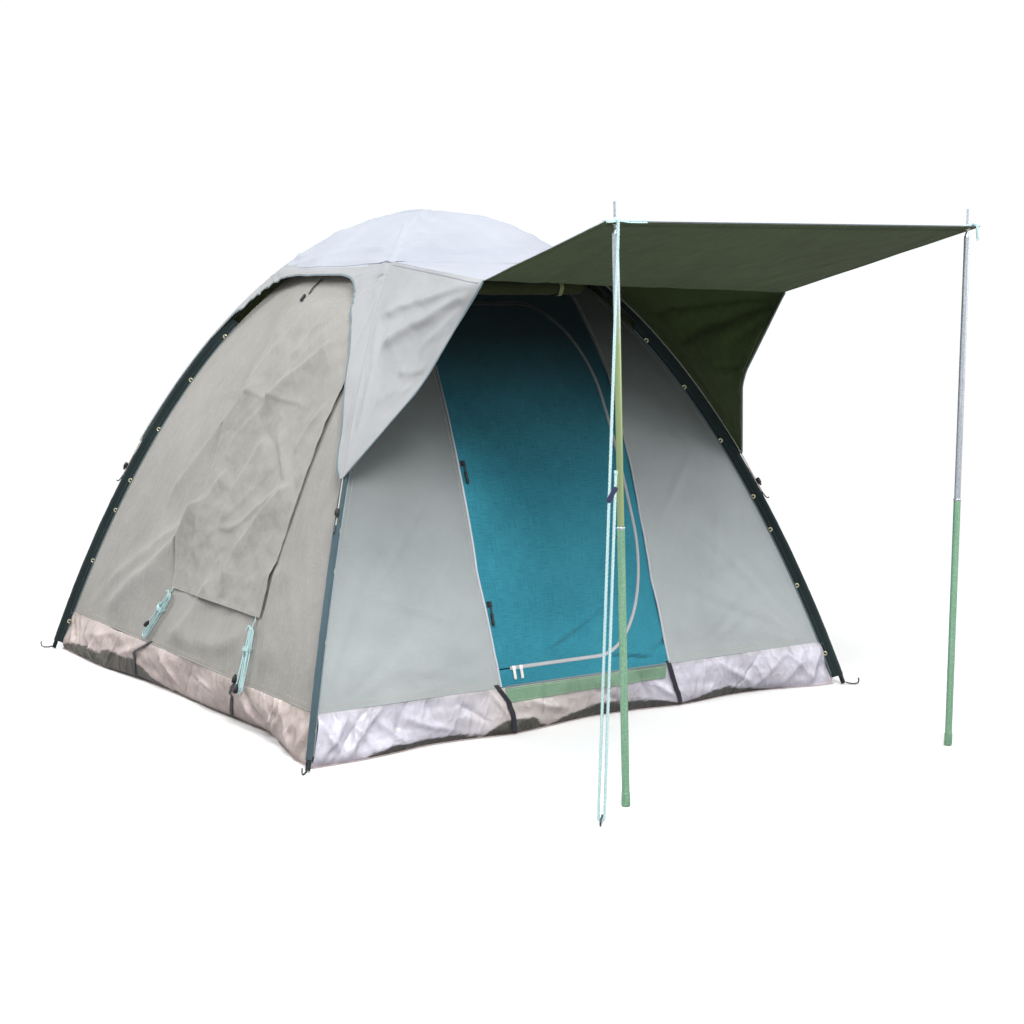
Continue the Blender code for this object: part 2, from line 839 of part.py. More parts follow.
def make_sleeves():
    section = sleeve_section()
    base = bow_line(0.0)
    first, last = share_at_height(base, sleeve_foot), share_at_height(base, sleeve_top)
    rows = bow_part(base, first, last)
    for corner in corners:

        def sleeve_place(across, up, corner=corner):
            row = rows[round(up * (len(rows) - 1))]
            out, aside = section[round(across * (len(section) - 1))]
            reach, height = point_at_share(bow_line(out), row)
            return in_corner(corner, reach, height, aside)

        cloth(f"corner_sleeve_{corner}", strip_slate, sleeve_place, len(section) - 1, len(rows) - 1, sleeve_cloth)


def make_corner_pegs():
    """The bent head of a wire peg in the ground, against the foot of each corner leg."""
    outside = bow_line(pole_out + pole_radius)
    for corner in corners:
        start = float(np.interp(2 * peg_wire, outside[:, 1], outside[:, 0])) + touch_gap
        shape = (
            (start, 3 * peg_wire),
            (start + 6 * peg_wire, 1.5 * peg_wire),
            (start + 13 * peg_wire, 1.5 * peg_wire),
            (start + 17 * peg_wire, 3 * peg_wire),
            (start + 18 * peg_wire, 7 * peg_wire),
            (start + 17 * peg_wire, 10 * peg_wire),
        )
        tube(f"corner_peg_{corner}", [in_corner(corner, *point) for point in shape], peg_wire, dark_steel)


# Flysheet: a roof on the arches with a narrow leg down each corner, open in an arch over each wall


@lru_cache
def fly_line():
    """(reach, height) of the flysheet's ridge over a bow."""
    line = bow_line(fly_lift).copy()
    arch_top = bow_height + pole_out + 2 * pole_radius + touch_gap + pole_radius
    rise = arch_top + fly_rest_gap - line[-1, 1]
    joint_reach = point_at_share(line, share_at_height(line, joint_height))[0]
    for row in line:
        row[1] += crossing_rise(row[0], joint_reach, rise)
    return line


def fly_face_reach(height):
    line = fly_line()
    return float(np.interp(height, line[:, 1], line[:, 0])) / math.sqrt(2)


def fly_leg_width(height):
    share = max(0.0, (height - fly_tip_height) / leg_full_rise)
    return leg_width * share**0.7


def arch_outline():
    """The opening over a wall: up the inner edge of one leg, round under the roof and down the other."""
    below = fly_tip_height - leg_width
    right = [(fly_face_reach(below) + leg_width, below), (fly_face_reach(fly_tip_height), fly_tip_height)]
    centre = (arch_half_width - arch_round_across, arch_height - arch_round_up)
    for step in range(1, 7):
        height = fly_tip_height + (centre[1] - fly_tip_height) * step / 7
        right.append((fly_face_reach(height) - fly_leg_width(height), height))
    for step in range(6):
        angle = quarter * step / 5
        right.append((centre[0] + arch_round_across * math.cos(angle), centre[1] + arch_round_up * math.sin(angle)))
    return right + [(-x, z) for x, z in reversed(right)]


def make_flysheet():
    line = fly_line()
    tip = share_at_height(line, fly_tip_height)
    knuckle = share_at_height(line, knuckle_height)
    low_rows = bow_part(line, tip, knuckle)
    rows = low_rows + bow_part(line, knuckle, 1.0)[1:]
    columns = 8
    shape = bmesh.new()
    for side in side_names:
        kept = rows[len(low_rows) - 1 :] if side == "front" else rows
        grid = bmesh.new()
        bmesh.ops.create_grid(grid, x_segments=columns, y_segments=len(kept) - 1, size=0.5)
        for vertex in grid.verts:
            reach, height = point_at_share(line, kept[round((vertex.co.y + 0.5) * (len(kept) - 1))])
            along = 2 * vertex.co.x * reach / math.sqrt(2)
            vertex.co = turn_to(side) @ Vector((along, -reach / math.sqrt(2), height))
        mesh = bpy.data.meshes.new("flysheet_side")
        grid.to_mesh(mesh)
        grid.free()
        shape.from_mesh(mesh)
        bpy.data.meshes.remove(mesh)
    bmesh.ops.remove_doubles(shape, verts=shape.verts, dist=weld)
    mesh = bpy.data.meshes.new("flysheet_roof")
    shape.to_mesh(mesh)
    shape.free()
    roof = link("flysheet_roof", mesh, fly_canvas)
    thicken(roof, fly_cloth)
    for side in side_names[1:]:
        place = turn_to(side) @ Matrix.Translation((0, -half_side, 0)) @ Matrix.Rotation(quarter, 4, "X")
        cut(roof, cutter(f"fly_arch_{side}", arch_outline(), 2 * half_side - leg_width, place))


def eave_corner(hand):
    """Where a side of the awning bends down to the flysheet. The left one is pulled higher and further in."""
    if hand < 0:
        return Vector((-eave_half_width + eave_left_inset, -eave_forward, eave_height + eave_left_rise))
    return Vector((eave_half_width, -eave_forward, eave_height))


def awning_point(across, out):
    """On the awning: across from 0 at its left edge to 1, out from 0 at the flysheet to 1 at the poles."""
    inner = fly_face_reach(knuckle_height)
    start = inner + fly_cloth
    left = ((-inner, -start, knuckle_height), eave_corner(-1), awning_left_corner)
    right = ((inner, -start, knuckle_height), eave_corner(1), awning_right_corner)
    first = 0 if out < eave_share else 1
    share = out / eave_share if first == 0 else (out - eave_share) / (1 - eave_share)
    ends = [Vector(edge[first]).lerp(Vector(edge[first + 1]), share) for edge in (left, right)]
    sag = awning_sag * math.sin(math.pi * share) * math.sin(math.pi * across)
    return ends[0].lerp(ends[1], across) - Vector((0, 0, sag))


def eyelet(hand):
    """Where a pole's spike goes through the awning's underside, just inside a front corner."""
    aside, inside = eyelet_inset
    width = awning_right_corner[0] - awning_left_corner[0]
    depth = -eave_forward - awning_right_corner[1]
    across = aside / width if hand < 0 else 1 - aside / width / 2
    return awning_point(across, 1 - (1 - eave_share) * inside / depth)


eave_share = 0.55


def make_awning():
    def awning_place(across, up):
        return awning_point(across, 1 - up)

    awning = cloth("awning", fly_canvas, awning_place, 8, 20, fly_cloth)
    for hand in (-1, 1):
        hole = []
        for step in range(16):
            angle = 2 * math.pi * step / 16
            radius = spike_radius + eyelet_play
            hole.append((radius * math.cos(angle), radius * math.sin(angle)))
        cut(awning, cutter(f"awning_eyelet_{hand}", hole, spike_rise, Matrix.Translation(eyelet(hand))))


def make_wings():
    """The gusset on each side of the awning, from the ridge of the flysheet out to its free edge."""
    line = fly_line()
    top = share_at_height(line, knuckle_height)
    tip = share_at_height(line, fly_tip_height)
    rows = 12
    for hand, name in ((-1, "left"), (1, "right")):
        corner = "front_left" if hand < 0 else "front_right"

        def free_edge(down, hand=hand, corner=corner):
            eave = eave_corner(hand) - Vector((0, 0, touch_gap))
            middle = Vector(left_wing_corner if hand < 0 else right_wing_corner)
            low = in_corner(corner, *point_at_share(line, tip))
            if down < 0.5:
                return eave.lerp(middle, down / 0.5)
            return middle.lerp(low, (down - 0.5) / 0.5)

        def wing_place(across, up, hand=hand, corner=corner):
            down = 1 - up
            if hand < 0:
                across = 1 - across
            ridge_share = tip + (top - tip) * up
            ridge = in_corner(corner, *point_at_share(line, ridge_share))
            ridge += Vector((0, -edge_gap - fly_cloth, 0))
            outer = free_edge(down)
            point = outer.lerp(ridge, across)
            if up == 1.0:
                edge = awning_point(0.0 if hand < 0 else 1.0, eave_share * (1 - across))
                point = edge - Vector((0, 0, touch_gap + layer_gap))
            fold = wing_fold_depth * math.sin(3 * math.pi * (up + 0.35 * across))
            fold *= math.sin(math.pi * across) * math.sin(math.pi * up)
            return point + Vector((hand * fold, 0, 0))

        cloth(f"awning_wing_{name}", fly_canvas, wing_place, 8, rows, fly_cloth, weld_edges=True)


# Awning poles: an upper tube with a spike through the awning, sliding in a lower tube


def make_awning_poles():
    """Heights in the profiles are measured along the pole from the awning's underside, up to its spike."""
    shoulder = -shoulder_drop
    swage = shoulder - swage_length
    for hand, place, name in ((-1, awning_pole_feet[0], "left"), (1, awning_pole_feet[1], "right")):
        top = eyelet(hand)
        rise = (top - Vector((*place, 0.0))).normalized()
        matrix = Matrix.Translation(top) @ rise.to_track_quat("Z", "Y").to_matrix().to_4x4()
        ground = -(top.z - lower_radius * math.sqrt(1 - rise.z**2)) / rise.z
        hinge = pivot(f"awning_pole_{name}_eyelet", top)
        bottom = ground + upper_bottom
        upper = [
            (0.0, spike_rise),
            (spike_radius - spike_round / 2, spike_rise),
            (spike_radius, spike_rise - spike_round),
            (spike_radius, shoulder),
            (upper_radius, swage),
            (upper_radius, bottom),
            (upper_bore, bottom),
            (upper_bore, swage - bore_end_drop),
            (0.0, swage - bore_end_drop),
        ]
        turned(f"awning_pole_{name}_upper", upper, pole_steel, matrix, hinge)
        slide = pivot(f"awning_pole_{name}_slide", matrix @ Vector((0, 0, ground)), hinge)
        rim = ground + lower_top
        lower = [
            (0.0, ground + foot_solid),
            (lower_bore, ground + foot_solid),
            (lower_bore, rim),
            (lower_radius, rim),
            (lower_radius, ground + foot_chamfer),
            (lower_radius - foot_chamfer, ground),
            (0.0, ground),
        ]
        turned(f"awning_pole_{name}_lower", lower, pole_steel, matrix, slide)
        print("awning pole", name, "eyelet", [round(v, 5) for v in top], "axis", [round(v, 6) for v in rise])
        print("   foot", [round(v, 5) for v in matrix @ Vector((0, 0, ground))])


# Ropes. Each pole has one looped round its spike, which leaves over the awning's front edge.


def spike_route(hand):
    """Round the spike from its front side by the back, then over the front edge, on the pole's outer side."""
    spike = eyelet(hand)
    corner = awning_left_corner if hand < 0 else awning_right_corner
    slope = math.atan2(corner[2] - eave_corner(hand).z, -corner[1] - eave_forward)
    lift = (fly_cloth + rope_radius + touch_gap) / math.cos(slope)
    route = []
    for degrees in (-68, -20, 38, 90, 144, 196):
        angle = math.radians(degrees)
        aside = Vector((-hand * math.cos(angle), math.sin(angle), -math.tan(slope) * math.sin(angle)))
        route.append(spike + aside * spike_loop_radius + Vector((0, 0, lift)))
    width = awning_right_corner[0] - awning_left_corner[0]
    across = spike.x + hand * spike_loop_radius * 0.85
    edge = awning_point((across - awning_left_corner[0]) / width, 1.0) + Vector((0, 0, fly_cloth))
    for forward, up in ((-1.0, 1.6), (1.0, 1.0), (1.8, 0.0), (2.0, -4.0)):
        route.append(edge + Vector((0, -forward * edge_room, up * edge_room)))
    return route


def smooth(points):
    """A close set of points on a smooth curve through the given ones, about a radius apart."""
    points = [Vector(point) for point in points]
    padded = [2 * points[0] - points[1]] + points + [2 * points[-1] - points[-2]]
    found = []
    for before, start, end, after in zip(padded, padded[1:], padded[2:], padded[3:]):
        knots = [0.0]
        for first, second in ((before, start), (start, end), (end, after)):
            knots.append(knots[-1] + math.sqrt((second - first).length))
        count = max(2, int((end - start).length / rope_radius))
        for step in range(count):
            t = knots[1] + (knots[2] - knots[1]) * step / count
            a = before.lerp(start, (t - knots[0]) / (knots[1] - knots[0]))
            b = start.lerp(end, (t - knots[1]) / (knots[2] - knots[1]))
            c = end.lerp(after, (t - knots[2]) / (knots[3] - knots[2]))
            d = a.lerp(b, (t - knots[0]) / (knots[2] - knots[0]))
            e = b.lerp(c, (t - knots[1]) / (knots[3] - knots[1]))
            found.append(d.lerp(e, (t - knots[1]) / (knots[2] - knots[1])))
    return found + [points[-1]]


def thinned(points, longest, most_turn):
    """Keeps a point of a close set where the route has turned enough or run far enough."""
    kept, turned_by, run = [points[0]], 0.0, 0.0
    for before, here, after in zip(points, points[1:], points[2:]):
        run += (here - before).length
        turned_by += (here - before).angle(after - here, 0.0)
        if turned_by > most_turn or run > longest:
            kept.append(here)
            turned_by, run = 0.0, 0.0
    return kept + [points[-1]]


def length_of(points):
    return sum((second - first).length for first, second in zip(points, points[1:]))


def make_guy_rope():
    """From its loop on the left spike down to the peg, round its hook and back up through the runner to a knot."""
    route = spike_route(-1)
    start = route[-1]
    hook = Vector((*guy_peg_place, guy_hook_height))
    spread = (start - hook).cross(Vector((0, 0, 1))).normalized()
    bend = strand_spread / 2
    rise = (start - (hook - spread * bend)).normalized()
    strand = (start - (hook - spread * bend)).length
    steps = 7
    route += [start - rise * strand * step / steps for step in range(1, steps)]
    for step in range(9):
        angle = math.pi * step / 8
        route.append(hook - spread * bend * math.cos(angle) - rise * bend * math.sin(angle))
    tail = (runner_height + runner_length / 2 + tail_past_runner - hook.z) / rise.z
    route += [hook + spread * bend + rise * tail * step / 4 for step in range(1, 5)]
    fine = smooth(route)
    kept = thinned(fine, longest_straight, math.radians(20))
    ends = [kept[-1] + rise * rope_radius * share for share in knot_end_shares]
    radii = [1.0] * len(kept) + [knot_radius_share, knot_radius_share, 1.0]
    tube("guy_rope", kept + ends, rope_radius, rope_mint, shares=radii)
    print("guy rope length", round(length_of(fine) + 3 * rope_radius, 4), "points", len(kept) + 3)

    tie = spike_route(1)
    tie += [tie[-1] + Vector((rope_radius * share, 0, -tie_tail * share)) for share in (0.5, 1.0)]
    kept = thinned(smooth(tie), longest_straight, math.radians(20))
    tube("right_pole_tie", kept, rope_radius, rope_mint)
    print("right pole tie length", round(length_of(smooth(tie)), 4), "points", len(kept))

    middle = hook + rise * (runner_height - hook.z) / rise.z
    aside = (spread - rise * spread.dot(rise)).normalized()
    frame = Matrix((aside, rise.cross(aside), rise)).transposed().to_4x4()
    frame.translation = middle
    bore = rope_radius + runner_play
    half_width, half_depth = bend + bore + runner_wall, bore + runner_wall / 2
    body = []
    for step in range(24):
        angle = 2 * math.pi * step / 24
        wide = math.copysign(abs(math.cos(angle)) ** 0.6, math.cos(angle))
        body.append((half_width * wide, half_depth * math.sin(angle)))
    track = pivot("guy_runner_track", middle)
    runner = as_mesh(
        outline_solid("runner_curve", body, runner_length, frame, black_plastic), "guy_runner", black_plastic
    )
    runner.parent = track
    runner.matrix_parent_inverse = track.matrix_world.inverted()
    for index, hand in enumerate((-1, 1)):
        hole = []
        for step in range(12):
            angle = 2 * math.pi * step / 12
            hole.append((hand * bend + bore / math.cos(math.pi / 12) * math.cos(angle), bore * math.sin(angle)))
        cut(runner, cutter(f"runner_hole_{index}", hole, 2 * runner_length, frame))
    print("guy runner at", tuple(round(v, 5) for v in middle), "axis", tuple(round(v, 6) for v in rise))

    past = spread.cross(Vector((0, 0, 1)))
    bar = hook - rise * (bend - rope_radius - peg_wire - touch_gap)
    shape = (
        (5 * peg_wire, -bar.z),
        (5 * peg_wire, -3 * peg_wire),
        (3 * peg_wire, 0.0),
        (-3 * peg_wire, 0.0),
        (-5 * peg_wire, 2 * peg_wire),
    )
    tube("guy_peg", [bar + past * out + Vector((0, 0, up)) for out, up in shape], peg_wire, dark_steel)


def make_flap_ropes():
    """Two ties of rope hanging from the lower corners of the left window flap, each wound into a hank."""
    for name, start_along, lean in (("flap_rope_rear", *rear_hank), ("flap_rope_front", *front_hank)):
        start_height = flap_low + hank_round
        lift = canvas + layer_gap + canvas + layer_gap + hank_rope_radius
        start = on_side("left", start_along, start_height, lift)
        middle = flap_low - hank_lead - hank_half_length
        frame = surface_frame("left", start_along, middle, lift, hank_half_length)
        slant = Matrix.Rotation(math.atan2(lean, 2 * hank_half_length), 4, "Z")
        across = (frame @ slant).to_3x3() @ Vector((1, 0, 0))
        up = (frame @ slant).to_3x3() @ Vector((0, 1, 0))
        out = frame.to_3x3() @ Vector((0, 0, 1))
        centre = frame.translation + across * lean / 2
        straight = hank_half_length - hank_round
        lead = start.lerp(centre + up * hank_half_length, 0.5) + out * hank_rope_radius
        points = [start, start.lerp(lead, 0.5) + out * hank_rope_radius / 2, lead]
        for step in range(hank_turns * points_a_loop + 1):
            share = step / points_a_loop
            turn = share % 1.0
            points.append(centre + loop_point(turn, straight, across, up) + out * (hank_pitch * share))
        print(name, "start", tuple(round(v, 5) for v in start), "points", len(points), "length", round(length_of(points), 3))
        swing = pivot(name + "_swing", start)
        tube(name, points, hank_rope_radius, rope_mint, swing, sides=1)
        print("   least gap between turns", round(1000 * least_gap(points), 2), "mm")


def loop_point(turn, straight, across, up):
    """Round one loop of a hank: down one straight run, round its foot, up the other and round its head."""
    run, bend = 2 * straight, math.pi * hank_round
    at = turn * (2 * run + 2 * bend)
    if at < run:
        return -across * hank_round + up * (straight - at)
    if at < run + bend:
        angle = (at - run) / hank_round
        return -across * hank_round * math.cos(angle) - up * (straight + hank_round * math.sin(angle))
    if at < 2 * run + bend:
        return across * hank_round + up * (at - run - bend - straight)
    angle = (at - 2 * run - bend) / hank_round
    return across * hank_round * math.cos(angle) + up * (straight + hank_round * math.sin(angle))


def least_gap(points):
    """The least distance from the rope's surface to itself, between points over a quarter loop apart."""
    places = np.array([tuple(point) for point in points])
    apart = points_a_loop // 3
    least = 1.0
    for index in range(len(places) - apart):
        distance = np.linalg.norm(places[index + apart :] - places[index], axis=1).min()
        least = min(least, float(distance))
    return least - 2 * hank_rope_radius


make_groundsheet()
make_peg_straps()
make_front()
make_windows()
make_inner_roof()
make_bows()
make_sleeves()
make_corner_pegs()
make_flysheet()
make_awning()
make_wings()
make_awning_poles()
make_guy_rope()
make_flap_ropes()
bpy.context.view_layer.update()
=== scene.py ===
import math

import bmesh
import bpy
import numpy as np
from mathutils import Matrix, Vector


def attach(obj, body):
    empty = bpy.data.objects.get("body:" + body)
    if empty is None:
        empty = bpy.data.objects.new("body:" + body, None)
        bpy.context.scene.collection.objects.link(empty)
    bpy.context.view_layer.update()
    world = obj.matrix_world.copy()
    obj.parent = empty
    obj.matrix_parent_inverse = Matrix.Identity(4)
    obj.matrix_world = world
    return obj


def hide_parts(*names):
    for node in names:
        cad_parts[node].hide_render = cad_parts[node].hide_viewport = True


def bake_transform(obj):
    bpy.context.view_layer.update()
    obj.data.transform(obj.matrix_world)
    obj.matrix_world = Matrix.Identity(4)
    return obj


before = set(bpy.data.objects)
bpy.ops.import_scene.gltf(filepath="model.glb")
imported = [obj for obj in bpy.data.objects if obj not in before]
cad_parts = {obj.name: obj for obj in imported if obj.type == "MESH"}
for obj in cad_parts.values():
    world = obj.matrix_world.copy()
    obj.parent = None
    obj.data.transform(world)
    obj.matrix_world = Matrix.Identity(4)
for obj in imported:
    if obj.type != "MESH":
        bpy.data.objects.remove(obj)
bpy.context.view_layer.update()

# The lengths that the part's source uses, in metres

tent = dict(
    sideLength=2.5, bowHeight=1.925, kneeReach=0.857, kneeHeight=0.345, shoulderReach=0.515,
    wallSetIn=0.027, tubHeight=0.175, wallTop=1.7, cornerTrim=0.0022, edgeGap=0.0007,
    canvas=0.0025, netting=0.002, fly=0.0025, vinyl=0.0025, layerGap=0.0008, touchGap=0.0004,
    poleRadius=0.0095, poleOut=0.01, jointHeight=1.6, flyLift=0.027, flyRest=0.0007,
    tipHeight=0.96, knuckle=1.741, legWidth=0.17, legRise=0.6,
)
window = dict(low=0.5, high=1.4, halfWidth=0.355, netLow=0.5007, netHigh=1.3973, netHalf=0.3543,
              room=0.86, netRoom=0.855)
flap = dict(foot=0.414, top=1.6, halfWidth=0.41)
stitchLift, threadLift, tapeLift = 0.0028, 0.0027, 0.0026
seamHeights, weltHeight = (0.19, 0.197), 0.1765
half = tent["sideLength"] / 2
footReach = half * math.sqrt(2)
corners = {"front_left": (-1, -1), "front_right": (1, -1), "back_right": (1, 1), "back_left": (-1, 1)}
sideNames = ("front", "right", "back", "left")
sideAxes = {
    "front": ((1, 0, 0), (0, -1, 0)),
    "right": ((0, 1, 0), (1, 0, 0)),
    "back": ((-1, 0, 0), (0, 1, 0)),
    "left": ((0, -1, 0), (-1, 0, 0)),
}
doorLeft = ((0.175, -0.412), (0.6, -0.432), (1.35, -0.404), (1.7, -0.385))
doorRight = ((0.175, 0.376), (0.5, 0.36), (1.3, 0.396), (1.7, 0.358))


# Values from a start through each stop, with a count for each stretch.
def through(start, *stretches):
    values = [start]
    for count, stop in stretches:
        values = np.concatenate([values, np.linspace(values[-1], stop, count)[1:]])
    return values


def unit(vectors):
    return vectors / np.linalg.norm(vectors, axis=1)[:, None]


def pushed(line, lift):
    tangent = unit(np.gradient(line, axis=0))
    return line + lift * np.stack([tangent[:, 1], -tangent[:, 0]], axis=1)


def bowLine(lift):
    t = np.linspace(0.0, 1.0, 601)[:, None]
    top = tent["bowHeight"]
    foot = np.array((footReach, 0.0))
    knee = np.array((footReach * tent["kneeReach"], top * tent["kneeHeight"]))
    shoulder = np.array((footReach * tent["shoulderReach"], top))
    line = (1 - t) ** 3 * foot + 3 * t * (1 - t) ** 2 * knee
    line = line + 3 * t**2 * (1 - t) * shoulder + t**3 * np.array((0.0, top))
    return pushed(line, lift)


def lengthsAlong(line):
    return np.concatenate([[0.0], np.cumsum(np.linalg.norm(np.diff(line, axis=0), axis=1))])


faceLine = bowLine(-tent["wallSetIn"])
faceLine[:, 0] /= math.sqrt(2)
faceNormal = pushed(faceLine, 1.0) - faceLine
faceLength = lengthsAlong(faceLine)


def faceReach(height, lift=0.0):
    outward = np.interp(height, faceLine[:, 1], faceNormal[:, 0])
    return np.interp(height, faceLine[:, 1], faceLine[:, 0]) + lift / np.maximum(outward, 0.3)


def heightAt(length):
    return np.interp(length, faceLength, faceLine[:, 1])


def lengthAt(height):
    return np.interp(height, faceLine[:, 1], faceLength)


def stand(side, along, reach, height):
    across, out = sideAxes[side]
    along, reach, height = np.broadcast_arrays(along, reach, height)
    flat = np.stack([along, along, reach, reach], axis=-1) * np.array((across[0], across[1], out[0], out[1]))
    return np.stack([flat[..., 0] + flat[..., 2], flat[..., 1] + flat[..., 3], height], axis=-1)


def onSide(side, along, height, lift=0.0):
    height = np.asarray(height, float)
    reach = np.interp(height, faceLine[:, 1], faceLine[:, 0])
    outward = np.interp(height, faceLine[:, 1], faceNormal[:, 0])
    upward = np.interp(height, faceLine[:, 1], faceNormal[:, 1])
    return stand(side, along, reach + outward * lift, height + upward * lift)


def inCorner(corner, reach, height, aside=0.0):
    x, y = np.array(corners[corner]) / math.sqrt(2)
    reach, height, aside = np.broadcast_arrays(reach, height, aside)
    return np.stack([x * reach - y * aside, y * reach + x * aside, height], axis=-1)


def edgeAt(edge, height):
    heights, places = zip(*edge)
    return np.interp(height, heights, places)


# Folds: soft noise, single creases, and fans that spread from a point

def soft(x, y, size, seed):
    table = np.random.default_rng(seed).uniform(-1, 1, (64, 64))
    x, y = np.asarray(x) / size + 31.3, np.asarray(y) / size + 17.7
    column, row = np.floor(x).astype(int), np.floor(y).astype(int)
    s, t = x - column, y - row
    s, t = s * s * (3 - 2 * s), t * t * (3 - 2 * t)
    low = table[column % 64, row % 64] * (1 - s) + table[(column + 1) % 64, row % 64] * s
    high = table[column % 64, (row + 1) % 64] * (1 - s) + table[(column + 1) % 64, (row + 1) % 64] * s
    return low * (1 - t) + high * t


def crease(x, y, start, end, width, depth):
    run = np.subtract(end, start)
    reach = np.linalg.norm(run)
    run = run / reach
    along = ((x - start[0]) * run[0] + (y - start[1]) * run[1]) / reach
    bend = soft(along * reach, start[0] * 7 + 0 * along, 0.12, 5) * width * 0.6
    aside = (x - start[0]) * -run[1] + (y - start[1]) * run[0] + bend
    fade = np.sin(np.pi * np.clip(along, 0, 1)) ** 0.7
    return depth * np.exp(-np.abs(aside / width) ** 1.5) * fade


# Adds each row of a table: start and end as (x, y, x, y), width and depth.
def creased(fold, x, y, table, gain=1):
    for startX, startY, endX, endY, width, depth in table:
        fold = fold + crease(x, y, (startX, startY), (endX, endY), width, depth * gain)
    return fold


# A fold along a bent line: it rises slowly on the line's left and falls steeply on its right.
def ridgeLine(x, y, points, depth, wide, steep):
    points = np.array(points, float)
    knots = lengthsAlong(points)
    count = 30
    at = np.linspace(0, knots[-1], count)
    line = np.stack([np.interp(at, knots, points[:, k]) for k in range(2)], axis=1)
    for _ in range(3):
        line[1:-1] = (line[:-2] + 2 * line[1:-1] + line[2:]) / 4
    x, y = np.broadcast_arrays(np.asarray(x, float), np.asarray(y, float))
    x, y = x + 0.008 * soft(x, y, 0.09, 7), y + 0.008 * soft(y, x, 0.08, 8)
    best, side, share = np.full(x.shape, 9.0), np.zeros(x.shape), np.zeros(x.shape)
    for index, (start, end) in enumerate(zip(line, line[1:])):
        run = end - start
        reach = max(float(np.hypot(*run)), 1e-9)
        t = np.clip(((x - start[0]) * run[0] + (y - start[1]) * run[1]) / reach**2, 0, 1)
        away = np.hypot(x - start[0] - t * run[0], y - start[1] - t * run[1])
        turn = (run[0] * (y - start[1]) - run[1] * (x - start[0])) / reach
        nearer = away < best
        share = np.where(nearer, (index + t) / (count - 1), share)
        best, side = np.where(nearer, away, best), np.where(nearer, turn, side)
    width = np.where(side > 0, wide, steep)
    fade = np.clip(share / 0.1, 0, 1) * np.clip((1 - share) / 0.16, 0, 1)
    return depth * np.exp(-((best / width) ** 1.4)) * fade


def fan(x, y, middle, folds, depth, reach, seed):
    away = np.hypot(x - middle[0], y - middle[1])
    turn = np.arctan2(y - middle[1], x - middle[0])
    wave = np.sin(folds * turn + 2.4 * soft(turn * 3, away, 0.5, seed))
    return depth * wave * (away / reach) * np.exp(1 - away / reach)


# Materials: a small wrapper for shader maths and one method for any other node

def linear(colour):
    # A triple is a colour of 0 to 255 as it is seen; anything else is ready for a socket.
    if not isinstance(colour, tuple) or len(colour) > 3:
        return colour
    shares = [value / 255 for value in colour]
    return (*(s / 12.92 if s <= 0.04045 else ((s + 0.055) / 1.055) ** 2.4 for s in shares), 1.0)


class Wire:
    def __init__(self, tree, socket):
        self.tree, self.socket = tree, socket

    def math(self, operation, *others):
        node = self.tree.nodes.new("ShaderNodeMath")
        node.operation = operation
        for index, value in enumerate((self, *others)):
            join(self.tree, value, node.inputs[index])
        return Wire(self.tree, node.outputs[0])

    def __add__(self, other):
        return self.math("ADD", other)

    def __sub__(self, other):
        return self.math("SUBTRACT", other)

    def __mul__(self, other):
        return self.math("MULTIPLY", other)

    def __truediv__(self, other):
        return self.math("DIVIDE", other)

    def __radd__(self, other):
        return self.math("ADD", other)

    def __rmul__(self, other):
        return self.math("MULTIPLY", other)

    def __rsub__(self, other):
        return (self * -1.0).math("ADD", other)

    def __pow__(self, power):
        return self.math("POWER", power)

    def wave(self, size):
        return (self * (2 * math.pi / size)).math("SINE")

    def clamp(self, low, high):
        return ((self - low) / (high - low)).math("MINIMUM", 1.0).math("MAXIMUM", 0.0)


def join(tree, value, socket):
    if isinstance(value, Wire):
        tree.links.new(value.socket, socket)
    else:
        socket.default_value = value


class Paint:
    def __init__(self, name, roughness, metallic=0.0, specular=0.3, sheen=0.0, coat=0.0):
        self.material = bpy.data.materials.new(name)
        self.material.use_nodes = True
        self.tree = self.material.node_tree
        self.shader = self.tree.nodes["Principled BSDF"]
        self.put("Roughness", roughness)
        self.put("Metallic", metallic)
        self.put("Specular IOR Level", specular)
        self.put("Sheen Weight", sheen)
        self.put("Sheen Roughness", 0.5)
        self.put("Coat Weight", coat)
        self.put("Coat Roughness", 0.25)

    def put(self, name, value):
        join(self.tree, value, self.shader.inputs[name])

    def node(self, kind, inputs=None, output=0, **settings):
        made = self.tree.nodes.new("ShaderNode" + kind)
        for key, value in settings.items():
            setattr(made, key, value)
        for key, value in (inputs or {}).items():
            join(self.tree, value, made.inputs[key])
        return Wire(self.tree, made.outputs[output])

    def places(self):
        return self.node("TexCoord", output=3)

    def cut(self):
        return self.node("UVMap", uv_map="cut")

    def split(self, vector):
        made = self.tree.nodes.new("ShaderNodeSeparateXYZ")
        join(self.tree, vector, made.inputs[0])
        return [Wire(self.tree, out) for out in made.outputs]

    def scaled(self, vector, x, y, z):
        return self.node("Mapping", {"Vector": vector, "Scale": (x, y, z)})

    def noise(self, vector, scale, detail=3.0, rough=0.55):
        inputs = {"Vector": vector, "Scale": scale, "Detail": detail, "Roughness": rough}
        return self.node("TexNoise", inputs)

    def blend(self, share, first, second):
        inputs = {0: share, 6: linear(first), 7: linear(second)}
        return self.node("Mix", inputs, output=2, data_type="RGBA")

    def bump(self, height, strength):
        normal = self.node("Bump", {"Height": height, "Distance": 1.0, "Strength": strength})
        self.put("Normal", normal)


